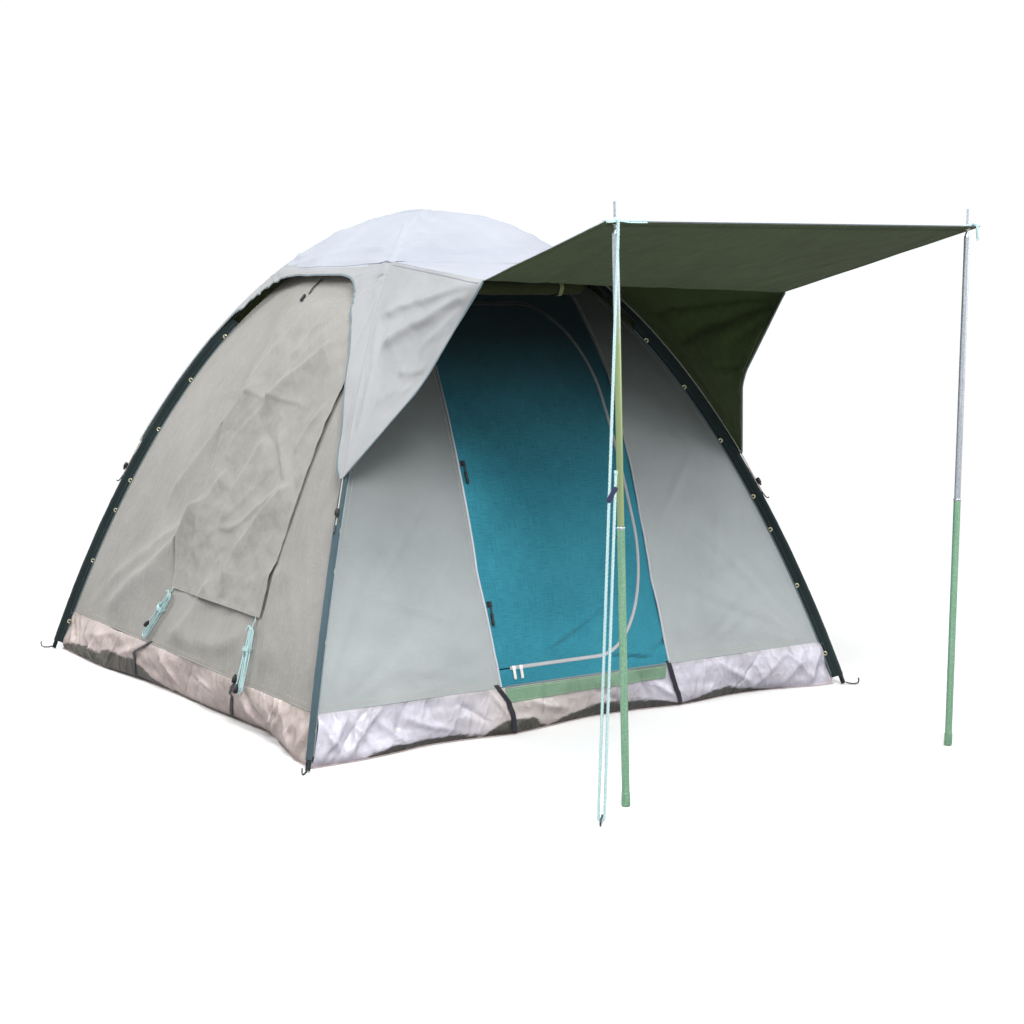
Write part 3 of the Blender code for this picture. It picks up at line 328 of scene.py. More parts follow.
def clothPaint(name, light, dark, grime, thread=0.0011, slub=0.1, crush=0.0016, sheen=0.15, soil=0.5,
               lean=0.0, pleat=0.0, shade=None):
    paint = Paint(name, 0.85, specular=0.2, sheen=sheen)
    cut, place = paint.cut(), paint.places()
    x, y = paint.split(cut)[:2]
    weave = x.wave(thread) * y.wave(thread)
    warp = paint.noise(paint.scaled(cut, 420, 14, 1), 1.0, 2.0)
    weft = paint.noise(paint.scaled(cut, 14, 420, 1), 1.0, 2.0)
    threads = (warp + weft - 1.0) * (slub * 8)
    blotch = paint.noise(place, 2.6, 4.0, 0.6)
    tone = (blotch * 1.3 - 0.15 + threads * 0.5 + weave * 0.02).clamp(0.05, 0.95)
    colour = paint.blend(tone, dark, light)
    height = paint.split(place)[2]
    low = (paint.noise(place, 7.0, 4.0) * 0.35 + 0.12 - height * 0.75).clamp(0.0, 0.5) * soil
    speck = paint.noise(place, 60.0, 3.0, 0.7).clamp(0.66, 0.8) * 0.25
    colour = paint.blend((low + speck).clamp(0.0, 1.0), colour, grime)
    # Painted shade under the awning: between the heights first and last the colour darkens towards deep.
    if shade:
        first, last, most, deep = shade
        colour = paint.blend(height.clamp(first, last) * most, colour, deep)
    creases = paint.noise(paint.scaled(place, 9, 9, 13), 1.0, 5.0, 0.62)
    fine = paint.noise(place, 48.0, 3.0, 0.6)
    relief = creases * crush + fine * (crush * 0.16) + weave * 0.00005 + (warp + weft) * 0.00018
    if pleat:
        for size, turn, share in ((5.0, lean, 1.0), (11.0, lean + 0.5, 0.45), (9.0, lean - 1.1, 0.25)):
            turned = paint.node("Mapping", {"Vector": cut, "Rotation": (0, 0, turn),
                "Scale": (size * 1.9, size * 0.75, 1)})
            run = paint.noise(turned, 1.0, 2.5, 0.5)
            ridge = (1.0 - (run * 2.0 - 1.0).math("ABSOLUTE")) ** 9.0
            relief = relief + ridge * (pleat * share)
            # Painted highlight: the crest of each pleat is painted lighter.
            colour = paint.blend((ridge * 0.2 * share).clamp(0.0, 1.0), colour, light)
    paint.put("Base Color", colour)
    paint.bump(relief, 0.9)
    return paint


# Coated sheet: crinkled, half glossy, with painted shade in patches at its foot where the wall folds under,
# together with the dark underside of the groundsheet.
# A patch is its middle, half its length and its height.
def hidePaint(name, light, dark, deep, axis=0, patches=(), warm=None):
    paint = Paint(name, 0.34, specular=0.6, coat=0.4)
    place = paint.places()
    patch = paint.noise(paint.scaled(place, 6, 6, 14), 1.0, 4.0, 0.6)
    colour = paint.blend(patch.clamp(0.3, 0.72), dark, light)
    parts = paint.split(place)
    along, height = parts[axis], parts[2]
    ragged = paint.noise(paint.scaled(place, 5.5, 5.5, 15), 1.0, 4.0, 0.6) - 0.5
    if warm:
        middle = 1.0 - ((along + 0.2) / 0.6).math("ABSOLUTE").math("MINIMUM", 1.0)
        colour = paint.blend((middle * 1.6 + ragged * 1.5).clamp(0.2, 1.2) * 0.7, colour, warm)
    # Each patch paints shade under an arch at the wall's foot, partly the groundsheet's dark underside.
    for middle, room, high in patches:
        off = (along - middle) / room
        arch = (1.0 - off * off).math("MAXIMUM", -1.5)
        mask = ((arch * high + ragged * 0.075 - height) / 0.01).clamp(0.0, 1.0)
        colour = paint.blend(mask * 0.94, colour, deep)
    paint.put("Base Color", colour)
    crinkle = paint.noise(paint.scaled(place, 7, 7, 5), 1.0, 2.0, 0.5)
    relief = crinkle * 0.01 + paint.noise(place, 260.0, 2.0) * 0.00012
    for size, lean in ((1.0, 0.6), (1.7, -0.7)):
        turned = paint.node("Mapping", {"Vector": paint.cut(), "Rotation": (0, 0, lean),
            "Scale": (10 * size, 6 * size, 1)})
        sharp = (1.0 - (paint.noise(turned, 1.0, 1.0) * 2.0 - 1.0).math("ABSOLUTE")) ** 5.0
        relief = relief + sharp * (0.005 / size)
    paint.bump(relief, 0.95)
    paint.put("Roughness", (patch * 0.3 + 0.22).math("MINIMUM", 0.6))
    return paint


def metalPaint(name, light, dark, roughness, lower=None):
    paint = Paint(name, roughness, 0.9, 0.5)
    place = paint.places()
    run = paint.noise(paint.scaled(place, 300, 300, 4.0), 1.0, 3.0)
    spangle = paint.node("TexVoronoi", {"Vector": place, "Scale": 160.0})
    tone = (run * 0.7 + spangle * 0.5).clamp(0.25, 0.85)
    colour = paint.blend(tone, dark, light)
    # Painted reflection of the grass: below the heights in lower the metal is painted green.
    if lower:
        height = paint.split(place)[2]
        edge = height + paint.noise(place, 14.0) * 0.1 - 0.05
        colour = paint.blend(edge.clamp(lower[0], lower[1]), lower[2], colour)
    paint.put("Base Color", colour)
    paint.put("Roughness", (run * 0.3 + (roughness - 0.12)).math("MINIMUM", 0.9))
    paint.bump(run * 0.0001 + spangle * 0.00005, 0.6)
    return paint


def plasticPaint(name, light, dark, roughness=0.45):
    paint = Paint(name, roughness, specular=0.45)
    place = paint.places()
    grain = paint.noise(place, 900.0, 2.0)
    patch = paint.noise(place, 30.0, 3.0)
    paint.put("Base Color", paint.blend(patch.clamp(0.3, 0.7), dark, light))
    paint.put("Roughness", patch * 0.25 + (roughness - 0.1))
    paint.bump(grain * 0.00004, 0.5)
    return paint


def webPaint(name, light, dark):
    thread = 0.0016
    paint = Paint(name, 0.8, specular=0.25, sheen=0.3)
    x, y = paint.split(paint.cut())[:2]
    rib = (x + y * 0.5).wave(thread * 2)
    warp = x.wave(thread)
    tone = (rib * warp * 0.5 + 0.5 + (paint.noise(paint.places(), 40.0) - 0.5) * 0.8).clamp(0.0, 1.0)
    paint.put("Base Color", paint.blend(tone, dark, light))
    paint.bump(rib * 0.00012 + warp * 0.00012, 0.8)
    return paint


def ropePaint(name, light, dark, strandHighlight):
    paint = Paint(name, 0.75, specular=0.3, sheen=0.3)
    x, y = paint.split(paint.cut())[:2]
    strand = (x + y * 0.35).wave(0.0042)
    other = (x - y * 0.35).wave(0.0042)
    fibre = paint.noise(paint.scaled(paint.cut(), 900, 200, 1), 1.0, 2.0)
    # Painted shade and highlight: each strand is lighter on its crest and darker in the groove beside it, with
    # near-white flecks where the twists cross.
    tone = (strand * 0.35 + fibre * 1.2 - 0.1).clamp(0.1, 0.9)
    colour = paint.blend(tone, dark, light)
    colour = paint.blend((strand * other).clamp(0.35, 0.75) * 0.6, colour, strandHighlight)
    paint.put("Base Color", colour)
    paint.bump(strand * 0.00025 + fibre * 0.0002, 0.8)
    return paint


canvasLeft = clothPaint("canvas_left", (170, 168, 164), (142, 140, 135), (122, 116, 104), crush=0.006,
                        slub=0.05, lean=0.62, pleat=0.0016)
canvasFront = clothPaint("canvas_front", (184, 191, 194), (160, 167, 169), (142, 138, 128), crush=0.005,
    slub=0.05, shade=(0.86, 1.52, 0.84, (30, 36, 26)))
# A darker, shaded copy of the front canvas for the left front wall, its painted shade starting lower down,
# because the key lamp lights that side more.
canvasFrontLeftShaded = clothPaint("canvas_front_left_shaded", (182, 189, 192), (158, 165, 167), (142, 138, 128),
    crush=0.005, slub=0.05, shade=(0.36, 1.52, 0.88, (30, 36, 28)))
canvasBack = clothPaint("canvas_back", (190, 188, 180), (163, 160, 152), (142, 134, 118), lean=-0.6,
                        pleat=0.003)
canvasInside = clothPaint("canvas_inside", (150, 148, 136), (126, 124, 112), (110, 102, 90))
flyTop = clothPaint("fly_top", (193, 198, 208), (174, 179, 190), (176, 176, 174), soil=0.0, sheen=0.1,
                    crush=0.004, slub=0.05)
# A darker, shaded copy of the fly canvas for the wings and the fly's legs, which face the light less than its
# top: painted shade.
flyShaded = clothPaint("fly_shaded", (181, 183, 186), (160, 162, 164), (150, 148, 142), soil=0.0, sheen=0.1,
                     crush=0.004, slub=0.05)
flyUnder = clothPaint("fly_under", (72, 86, 46), (50, 62, 32), (38, 42, 26), soil=0.0, sheen=0.1, lean=1.2,
                      pleat=0.0014)
netTeal = clothPaint("net_teal", (58, 148, 168), (34, 112, 132), (18, 70, 84), thread=0.0017, slub=0.34,
                     crush=0.0016, soil=0.15,
                     shade=(0.86, 1.46, 0.92, (8, 15, 18)))
sillGreen = clothPaint("sill_green", (138, 172, 146), (104, 142, 116), (96, 106, 84), soil=0.4, pleat=0.003)
rollOlive = clothPaint("roll_olive", (74, 82, 52), (48, 56, 34), (36, 38, 26), soil=0.0)
tieOlive = clothPaint("tie_olive", (176, 182, 138), (138, 146, 104), (90, 94, 70), soil=0.0)
slate = clothPaint("strip_slate", (46, 60, 62), (28, 40, 43), (48, 52, 46), soil=0.3)
# Lighter, lit copies of the slate sleeve and its welt for the front-left corner, which faces the light: painted
# light.
slateLit = clothPaint("strip_slate_lit", (86, 108, 118), (62, 80, 88), (60, 64, 60), soil=0.2)
slateBindingLit = clothPaint("slate_binding_lit", (170, 186, 194), (134, 150, 160), (120, 128, 124), soil=0.2)
seamGrey = clothPaint("seam_grey", (158, 162, 172), (138, 142, 152), (130, 130, 130), soil=0.0)
piping = clothPaint("door_piping", (214, 218, 228), (190, 194, 206), (150, 146, 140), soil=0.2,
                    shade=(0.9, 1.42, 0.86, (26, 30, 28)))
binding = clothPaint("pale_binding", (130, 148, 156), (96, 116, 126), (120, 128, 124), soil=0.3)
slateBinding = clothPaint("slate_binding", (112, 130, 134), (80, 98, 104), (84, 92, 90), soil=0.3)
zipTape = clothPaint("zip_tape", (202, 206, 210), (176, 180, 186), (150, 146, 140), thread=0.0008, soil=0.2,
                     shade=(0.92, 1.54, 0.95, (14, 22, 24)))
tubFront = hidePaint("vinyl_front", (220, 218, 232), (182, 178, 190), (38, 40, 28), 0,
                     ((-0.7, 0.36, 0.034), (-0.36, 0.17, 0.062), (0.13, 0.36, 0.056), (0.7, 0.26, 0.04)),
                     (192, 180, 170))
tubLeft = hidePaint("vinyl_left", (208, 192, 188), (174, 159, 153), (50, 48, 34), 1,
                    ((0.95, 0.34, 0.07), (0.58, 0.42, 0.09), (0.0, 0.65, 0.014)))
tubBack = hidePaint("vinyl_back", (212, 200, 200), (180, 166, 166), (88, 86, 74))
bowPaint = metalPaint("bow_composite", (58, 66, 70), (30, 36, 40), 0.45)
pegPaint = metalPaint("peg_steel", (92, 96, 96), (44, 48, 48), 0.45)
poleBright = metalPaint("pole_bright", (214, 220, 226), (168, 174, 184), 0.32)
# The upper left pole, with a painted reflection of green grass on its lower part.
poleGrassReflectionBelow = metalPaint("pole_grass_reflection_below", (214, 220, 226), (168, 174, 184), 0.32,
                       lower=(1.44, 1.66, (172, 190, 140)))
# Steel painted green all over as a painted reflection of the grass, for the lower tubes and their foot caps.
poleGrassReflection = metalPaint("pole_grass_reflection", (172, 216, 184), (130, 180, 146), 0.32)
brass = metalPaint("brass_eyelet", (232, 228, 196), (186, 178, 140), 0.35)
webbing = webPaint("black_webbing", (48, 50, 60), (20, 22, 30))
blackPlastic = plasticPaint("black_plastic", (38, 38, 42), (20, 20, 24))
navyPlastic = plasticPaint("navy_plastic", (58, 66, 104), (32, 38, 68))
whitePlastic = plasticPaint("white_plastic", (244, 244, 242), (222, 222, 218), 0.35)
toothPaint = clothPaint("zip_teeth", (218, 220, 224), (192, 194, 200), (150, 146, 140), thread=0.0008, soil=0.2,
                        shade=(0.92, 1.54, 0.95, (14, 22, 24)))
rope = ropePaint("rope_mint", (228, 252, 252), (112, 178, 186), (250, 255, 254))
tanThread = plasticPaint("tan_thread", (214, 210, 198), (186, 182, 168), 0.8)
greyThread = plasticPaint("grey_thread", (120, 124, 112), (96, 100, 90), 0.8)
darkThread = plasticPaint("dark_thread", (70, 72, 62), (46, 50, 40), 0.8)
print("materials", len(bpy.data.materials))

# Making pieces

scene = bpy.context.scene


def newMesh(name, points, faces, cut=None, paints=()):
    mesh = bpy.data.meshes.new(name)
    mesh.from_pydata([tuple(p) for p in points], [], [tuple(int(i) for i in f) for f in faces])
    if cut is not None:
        layer = mesh.uv_layers.new(name="cut")
        corner = np.zeros(len(mesh.loops), int)
        mesh.loops.foreach_get("vertex_index", corner)
        layer.data.foreach_set("uv", np.asarray(cut, np.float32)[corner].ravel())
    for paint in paints:
        mesh.materials.append(paint.material)
    return mesh


def place(name, mesh):
    made = bpy.data.objects.new(name, mesh)
    scene.collection.objects.link(made)
    return made


# Applies every modifier.
def baked(piece):
    bpy.context.view_layer.update()
    seen = piece.evaluated_get(bpy.context.evaluated_depsgraph_get())
    mesh = bpy.data.meshes.new_from_object(seen)
    piece.modifiers.clear()
    old = piece.data
    piece.data = mesh
    mesh.name = piece.name
    if old.users == 0:
        bpy.data.meshes.remove(old)
    return piece


def smoothed(piece, angle):
    piece.data.polygons.foreach_set("use_smooth", [True] * len(piece.data.polygons))
    piece.data.set_sharp_from_angle(angle=math.radians(angle))
    return piece


def gridQuads(rows, columns, base=0):
    index = base + np.arange(rows * columns).reshape(rows, columns)
    return np.stack([index[:-1, :-1], index[:-1, 1:], index[1:, 1:], index[1:, :-1]], axis=-1)


def thickened(piece, thick, offset):
    solid = piece.modifiers.new("thickness", "SOLIDIFY")
    solid.thickness, solid.offset, solid.material_offset = thick, offset, 1
    return smoothed(baked(piece), 60)


def gridArea(points, rows, columns, keep):
    grid = points.reshape(rows, columns, 3)
    first = np.cross(grid[1:, 1:] - grid[:-1, :-1], grid[1:, :-1] - grid[:-1, 1:])
    areas = np.linalg.norm(first, axis=-1) / 2
    wide = np.linalg.norm(np.diff(grid, axis=1), axis=-1)
    tall = np.linalg.norm(np.diff(grid, axis=0), axis=-1)
    if keep is not None:
        areas = areas * keep
        wide = wide[:-1] * keep
        tall = tall[:, :-1] * keep
    return float(areas.sum()), float(wide.sum(1).max()), float(tall.sum(0).max())


# A piece follows one body; when body holds two bodies and a bend's two points instead, the piece only has its
# place baked in.
def follow(piece, body):
    if isinstance(body, str):
        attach(piece, body)
    else:
        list(body)
        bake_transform(piece)


def fitted(piece, body, slot, *nodes):
    follow(piece, body)
    if nodes:
        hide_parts(*nodes)
    return piece


# One cloth over a grid of u and v, which are metres of the cut; where gives its inner side.
def sheetPiece(name, nodes, u, v, where, outer, inner=None, thick=0.0025, body="tent", slot="canvas_tan",
               held="stretched", restsOn=(), keep=None, offset=1.0):
    columns, rows = len(u), len(v)
    gridU, gridV = np.meshgrid(u, v)
    points = where(gridU.ravel(), gridV.ravel())
    kept = None
    quads = gridQuads(rows, columns)
    if keep is not None:
        kept = keep((gridU[:-1, :-1] + gridU[1:, 1:]) / 2, (gridV[:-1, :-1] + gridV[1:, 1:]) / 2)
        quads = quads[kept]
    area, width, length = gridArea(points, rows, columns, kept)
    used, flat = np.unique(quads.reshape(-1, 4), return_inverse=True)
    cut = np.stack([gridU.ravel(), gridV.ravel()], axis=1)[used]
    mesh = newMesh(name, points[used], flat.reshape(-1, 4), cut, [outer, inner or outer])
    piece = fitted(thickened(place(name, mesh), thick, offset), body, slot, *nodes)
    if area < 0.31 * width * length:
        width = area / length / 0.95
    sheetSizes.append((name, round(width, 3), round(length, 3), round(area, 3)))
    return piece


sheetSizes = []


# Side and up at each point of a route; up follows facing, or is carried along the route.
def frames(points, facing):
    points = np.asarray(points, float)
    tangent = unit(np.gradient(points, axis=0))
    if facing is None:
        up = np.zeros_like(points)
        first = np.cross(tangent[0], (0.31, 0.17, 0.93))
        up[0] = first / np.linalg.norm(first)
        for i in range(1, len(points)):
            carried = up[i - 1] - tangent[i] * up[i - 1].dot(tangent[i])
            up[i] = carried / np.linalg.norm(carried)
    else:
        up = np.broadcast_to(np.asarray(facing, float), points.shape)
        up = unit(up - tangent * (up * tangent).sum(1)[:, None])
    return np.cross(tangent, up), up


# A closed section of (aside, up) swept along points, turned by turn radians a metre.
def swept(name, points, section, paint, facing=None, turn=0.0, size=None):
    points = np.asarray(points, float)
    section = np.asarray(section, float)
    side, up = frames(points, facing)
    run = lengthsAlong(points)
    angle = run * turn
    scale = np.ones(len(points)) if size is None else np.asarray(size, float)
    across = section[None, :, 0] * np.cos(angle)[:, None] - section[None, :, 1] * np.sin(angle)[:, None]
    rise = section[None, :, 0] * np.sin(angle)[:, None] + section[None, :, 1] * np.cos(angle)[:, None]
    across, rise = across * scale[:, None], rise * scale[:, None]
    mesh = points[:, None] + across[..., None] * side[:, None] + rise[..., None] * up[:, None]
    count = len(section)
    girth = np.concatenate([[0], np.cumsum(np.linalg.norm(np.diff(section, axis=0), axis=1))])
    cut = np.stack([np.tile(girth, len(points)), np.repeat(run, count)], axis=1)
    faces = []
    for i in range(len(points) - 1):
        for j in range(count):
            k = (j + 1) % count
            faces.append((i * count + j, i * count + k, (i + 1) * count + k, (i + 1) * count + j))
    faces.append(tuple(range(count))[::-1])
    faces.append(tuple((len(points) - 1) * count + j for j in range(count)))
    made = place(name, newMesh(name, mesh.reshape(-1, 3), faces, cut, [paint]))
    return smoothed(made, 55)


def roundSection(radius, sides, lobes=0, depth=0.0):
    angle = np.linspace(0, 2 * math.pi, sides, endpoint=False)
    size = radius * (1 - depth + depth * np.cos(lobes * angle) if lobes else np.ones(sides))
    return np.stack([size * np.cos(angle), size * np.sin(angle)], axis=1)


def tapeSection(width, thick):
    edge, high, inset = width / 2, thick * 0.6, thick * 0.3
    return [(-edge, 0), (edge, 0), (edge, high), (edge - inset, thick), (-edge + inset, thick), (-edge, high)]


def tape(name, points, normals, width, paint, slot, thick, body="tent"):
    normals = np.broadcast_to(np.asarray(normals, float), np.shape(points))
    return fitted(swept(name, points, tapeSection(width, thick), paint, facing=normals), body, slot)


def joined(name, pieces, body, slot, *nodes):
    merged = bmesh.new()
    paints = []
    for piece in pieces:
        mesh = piece.data.copy()
        mesh.transform(piece.matrix_world)
        before = len(paints)
        paints += list(mesh.materials)
        start = len(merged.faces)
        merged.from_mesh(mesh)
        merged.faces.ensure_lookup_table()
        for face in merged.faces[start:]:
            face.material_index += before
        bpy.data.meshes.remove(mesh)
    mesh = bpy.data.meshes.new(name)
    merged.to_mesh(mesh)
    merged.free()
    found = list(dict.fromkeys(paints))
    for material in found:
        mesh.materials.append(material)
    for face in mesh.polygons:
        face.material_index = found.index(paints[face.material_index])
    for piece in pieces:
        old = piece.data
        bpy.data.objects.remove(piece, do_unlink=True)
        if old.users == 0:
            bpy.data.meshes.remove(old)
    return fitted(place(name, mesh), body, slot, *nodes)


# A profile of (radius, height) turned about the matrix's Z axis.
def turnedShape(name, profile, matrix, paint, steps):
    profile = np.asarray(profile, float)
    angle = np.linspace(0, 2 * math.pi, steps, endpoint=False)
    points, faces = [], []
    for radius, height in profile:
        for a in angle:
            points.append((radius * math.cos(a), radius * math.sin(a), height))
    for i in range(len(profile) - 1):
        for j in range(steps):
            k = (j + 1) % steps
            faces.append((i * steps + j, (i + 1) * steps + j, (i + 1) * steps + k, i * steps + k))
    cut = [(j / steps * 0.03, h) for _, h in profile for j in range(steps)]
    mesh = newMesh(name, points, faces, cut, [paint])
    work = bmesh.new()
    work.from_mesh(mesh)
    bmesh.ops.remove_doubles(work, verts=work.verts, dist=1e-6)
    bmesh.ops.recalc_face_normals(work, faces=work.faces)
    work.to_mesh(mesh)
    work.free()
    mesh.transform(matrix)
    return smoothed(place(name, mesh), 40)


# Geometry Nodes trees for what repeats: stitches, zip teeth and eyelets

def nodeTree(name, sockets):
    tree = bpy.data.node_groups.new(name, "GeometryNodeTree")
    tree.interface.new_socket("Geometry", in_out="INPUT", socket_type="NodeSocketGeometry")
    for label, kind, value in sockets:
        socket = tree.interface.new_socket(label, in_out="INPUT", socket_type=kind)
        if value is not None:
            socket.default_value = value
    tree.interface.new_socket("Geometry", in_out="OUTPUT", socket_type="NodeSocketGeometry")
    return tree


def step(tree, kind, links=(), **settings):
    node = tree.nodes.new(kind)
    for key, value in settings.items():
        setattr(node, key, value)
    for socket, value in links:
        if isinstance(value, bpy.types.NodeSocket):
            tree.links.new(value, node.inputs[socket])
        else:
            node.inputs[socket].default_value = value
    return node


# Puts one small rod at each step of a line: along it for stitches, across it for zip teeth.
def alongTree(name, teeth):
    tree = nodeTree(name, (
        ("Spacing", "NodeSocketFloat", 0.007), ("Length", "NodeSocketFloat", 0.0042),
        ("Radius", "NodeSocketFloat", 0.0006), ("Material", "NodeSocketMaterial", None),
    ))
    start = step(tree, "NodeGroupInput")
    line = step(tree, "GeometryNodeMeshToCurve", [(0, start.outputs["Geometry"])])
    steps = step(tree, "GeometryNodeCurveToPoints",
                 [(0, line.outputs[0]), ("Length", start.outputs["Spacing"])], mode="LENGTH")
    rod = step(tree, "GeometryNodeMeshCylinder", [
        ("Vertices", 6), ("Radius", start.outputs["Radius"]), ("Depth", start.outputs["Length"])])
    facing = step(tree, "GeometryNodeInputNamedAttribute", [("Name", "facing")], data_type="FLOAT_VECTOR")
    source = steps.outputs["Tangent"]
    if teeth:
        across = step(tree, "ShaderNodeVectorMath", [(0, steps.outputs["Tangent"]), (1, facing.outputs[0])],
                      operation="CROSS_PRODUCT")
        source = across.outputs[0]
    turn = step(tree, "FunctionNodeAlignRotationToVector", [("Vector", source)], axis="Z")
    rods = step(tree, "GeometryNodeInstanceOnPoints", [
        ("Points", steps.outputs["Points"]), ("Instance", rod.outputs["Mesh"]), ("Rotation", turn.outputs[0])])
    real = step(tree, "GeometryNodeRealizeInstances", [(0, rods.outputs[0])])
    done = step(tree, "GeometryNodeSetMaterial",
                [(0, real.outputs[0]), ("Material", start.outputs["Material"])])
    step(tree, "NodeGroupOutput", [(0, done.outputs[0])])
    return tree


# Puts an eyelet on each point, its hole along the attribute facing.
def ringTree(name):
    tree = nodeTree(name, (
        ("Ring", "NodeSocketFloat", 0.0075), ("Rim", "NodeSocketFloat", 0.0022),
        ("Material", "NodeSocketMaterial", None),
    ))
    start = step(tree, "NodeGroupInput")
    circle = step(tree, "GeometryNodeCurvePrimitiveCircle",
                  [("Resolution", 24), ("Radius", start.outputs["Ring"])])
    rim = step(tree, "GeometryNodeCurvePrimitiveCircle", [("Resolution", 10), ("Radius", start.outputs["Rim"])])
    ring = step(tree, "GeometryNodeCurveToMesh", [(0, circle.outputs[0]), (1, rim.outputs[0])])
    flat = step(tree, "GeometryNodeTransform", [(0, ring.outputs[0]), ("Scale", (1.0, 1.0, 0.62))])
    facing = step(tree, "GeometryNodeInputNamedAttribute", [("Name", "facing")], data_type="FLOAT_VECTOR")
    turn = step(tree, "FunctionNodeAlignRotationToVector", [("Vector", facing.outputs[0])], axis="Z")
    rings = step(tree, "GeometryNodeInstanceOnPoints", [
        ("Points", start.outputs["Geometry"]), ("Instance", flat.outputs[0]), ("Rotation", turn.outputs[0])])
    real = step(tree, "GeometryNodeRealizeInstances", [(0, rings.outputs[0])])
    smooth = step(tree, "GeometryNodeSetShadeSmooth", [(0, real.outputs[0])])
    done = step(tree, "GeometryNodeSetMaterial", [(0, smooth.outputs[0]),
        ("Material", start.outputs["Material"])])
    step(tree, "NodeGroupOutput", [(0, done.outputs[0])])
    return tree


stitchTree = alongTree("stitches", False)
toothTree = alongTree("zip teeth", True)
eyeletTree = ringTree("eyelets")


def treePiece(name, tree, points, normals, edges, values, body, slot):
    mesh = bpy.data.meshes.new(name)
    mesh.from_pydata([tuple(p) for p in points], edges, [])
    facing = mesh.attributes.new("facing", "FLOAT_VECTOR", "POINT")
    normals = np.broadcast_to(np.asarray(normals, float), np.shape(points))
    facing.data.foreach_set("vector", np.ascontiguousarray(normals, np.float32).ravel())
    piece = place(name, mesh)
    modifier = piece.modifiers.new(name, "NODES")
    modifier.node_group = tree
    for item in tree.interface.items_tree:
        if item.in_out == "INPUT" and item.name in values:
            modifier[item.identifier] = values[item.name]
    return fitted(baked(piece), body, slot)


# Each line is (points, normals), a row of stitches on the cloth.
def stitches(name, lines, paint, body="tent", spacing=0.0068, length=0.0042, radius=0.00055, slot="canvas_tan"):
    points, normals, edges = [], [], []
    for line, facing in lines:
        line = np.asarray(line, float)
        facing = np.broadcast_to(np.asarray(facing, float), line.shape)
        start = len(points)
        points += list(line + facing * radius * 0.4)
        normals += list(facing)
        edges += [(start + i, start + i + 1) for i in range(len(line) - 1)]
    values = {"Spacing": spacing, "Length": length, "Radius": radius, "Material": paint.material}
    return treePiece(name, stitchTree, points, normals, edges, values, body, slot)


def teeth(name, points, normals, body, paint):
    values = {"Spacing": 0.0028, "Length": 0.0058, "Radius": 0.0011, "Material": paint.material}
    edges = [(i, i + 1) for i in range(len(points) - 1)]
    return treePiece(name, toothTree, points, normals, edges, values, body, "white_plastic")


def eyelets(name, points, normals, ring, rim):
    values = {"Ring": ring, "Rim": rim, "Material": brass.material}
    return treePiece(name, eyeletTree, points, normals, [], values, "tent", "peg_steel")


# Camera, light and floor

cameraPlace = Vector((-3.977, -6.557, 1.641))
yaw, pitch, roll = math.radians(33.859), math.radians(7.158), math.radians(0.219)
forward = Vector((math.sin(yaw) * math.cos(pitch), math.cos(yaw) * math.cos(pitch), -math.sin(pitch)))
level = Vector((math.cos(yaw), -math.sin(yaw), 0))
upward = level.cross(forward)
right = level * math.cos(roll) + upward * math.sin(roll)
top = upward * math.cos(roll) - level * math.sin(roll)
lens = bpy.data.cameras.new("camera")
lens.sensor_width = 36
focalPixels, imagePixels = 1779.7, 1024
lens.lens = focalPixels / imagePixels * lens.sensor_width
lens.clip_end = 60
camera = bpy.data.objects.new("camera", lens)
scene.collection.objects.link(camera)
camera.matrix_world = Matrix.Translation(cameraPlace) @ Matrix((right, top, -forward)).transposed().to_4x4()
scene.camera = camera
scene.view_settings.view_transform = "Standard"

world = bpy.data.worlds.new("studio")
world.use_nodes = True
scene.world = world
tree = world.node_tree
sky = tree.nodes["Background"]
rays = step(tree, "ShaderNodeLightPath").outputs
where = step(tree, "ShaderNodeTexCoord").outputs["Generated"]
cutUp = step(tree, "ShaderNodeSeparateXYZ", [(0, where)]).outputs[2]
rise = step(tree, "ShaderNodeMapRange", [(0, cutUp), (1, -0.2), (2, 1.0), (3, 0.26), (4, 0.9)]).outputs[0]
seen = [(0, rays["Is Camera Ray"]), (1, rays["Is Transmission Ray"])]
seen = step(tree, "ShaderNodeMath", seen, operation="MAXIMUM").outputs[0]
glossy = step(tree, "ShaderNodeMath", [(0, seen), (1, rays["Is Glossy Ray"])], operation="MAXIMUM").outputs[0]
power = step(tree, "ShaderNodeMix", [(0, glossy), (2, rise), (3, 1.04)])
tree.links.new(power.outputs[0], sky.inputs["Strength"])
sky.inputs["Color"].default_value = (0.97, 0.985, 1.0, 1.0)


def lamp(name, energy, size, spot, aim, colour=(1, 1, 1)):
    data = bpy.data.lights.new(name, "AREA")
    data.energy, data.size, data.color = energy, size, colour
    made = bpy.data.objects.new(name, data)
    scene.collection.objects.link(made)
    made.location = spot
    made.rotation_euler = (Vector(aim) - Vector(spot)).to_track_quat("-Z", "Y").to_euler()


lamp("key", 560, 2.6, (-2.6, -6.2, 6.8), (0, 0, 0.9), (1.0, 0.99, 0.97))
lamp("fill", 150, 4.0, (5.5, -6.5, 3.4), (0, 0, 0.9))
lamp("left", 300, 2.4, (-5.2, 4.4, 6.0), (0, 0, 0.9))

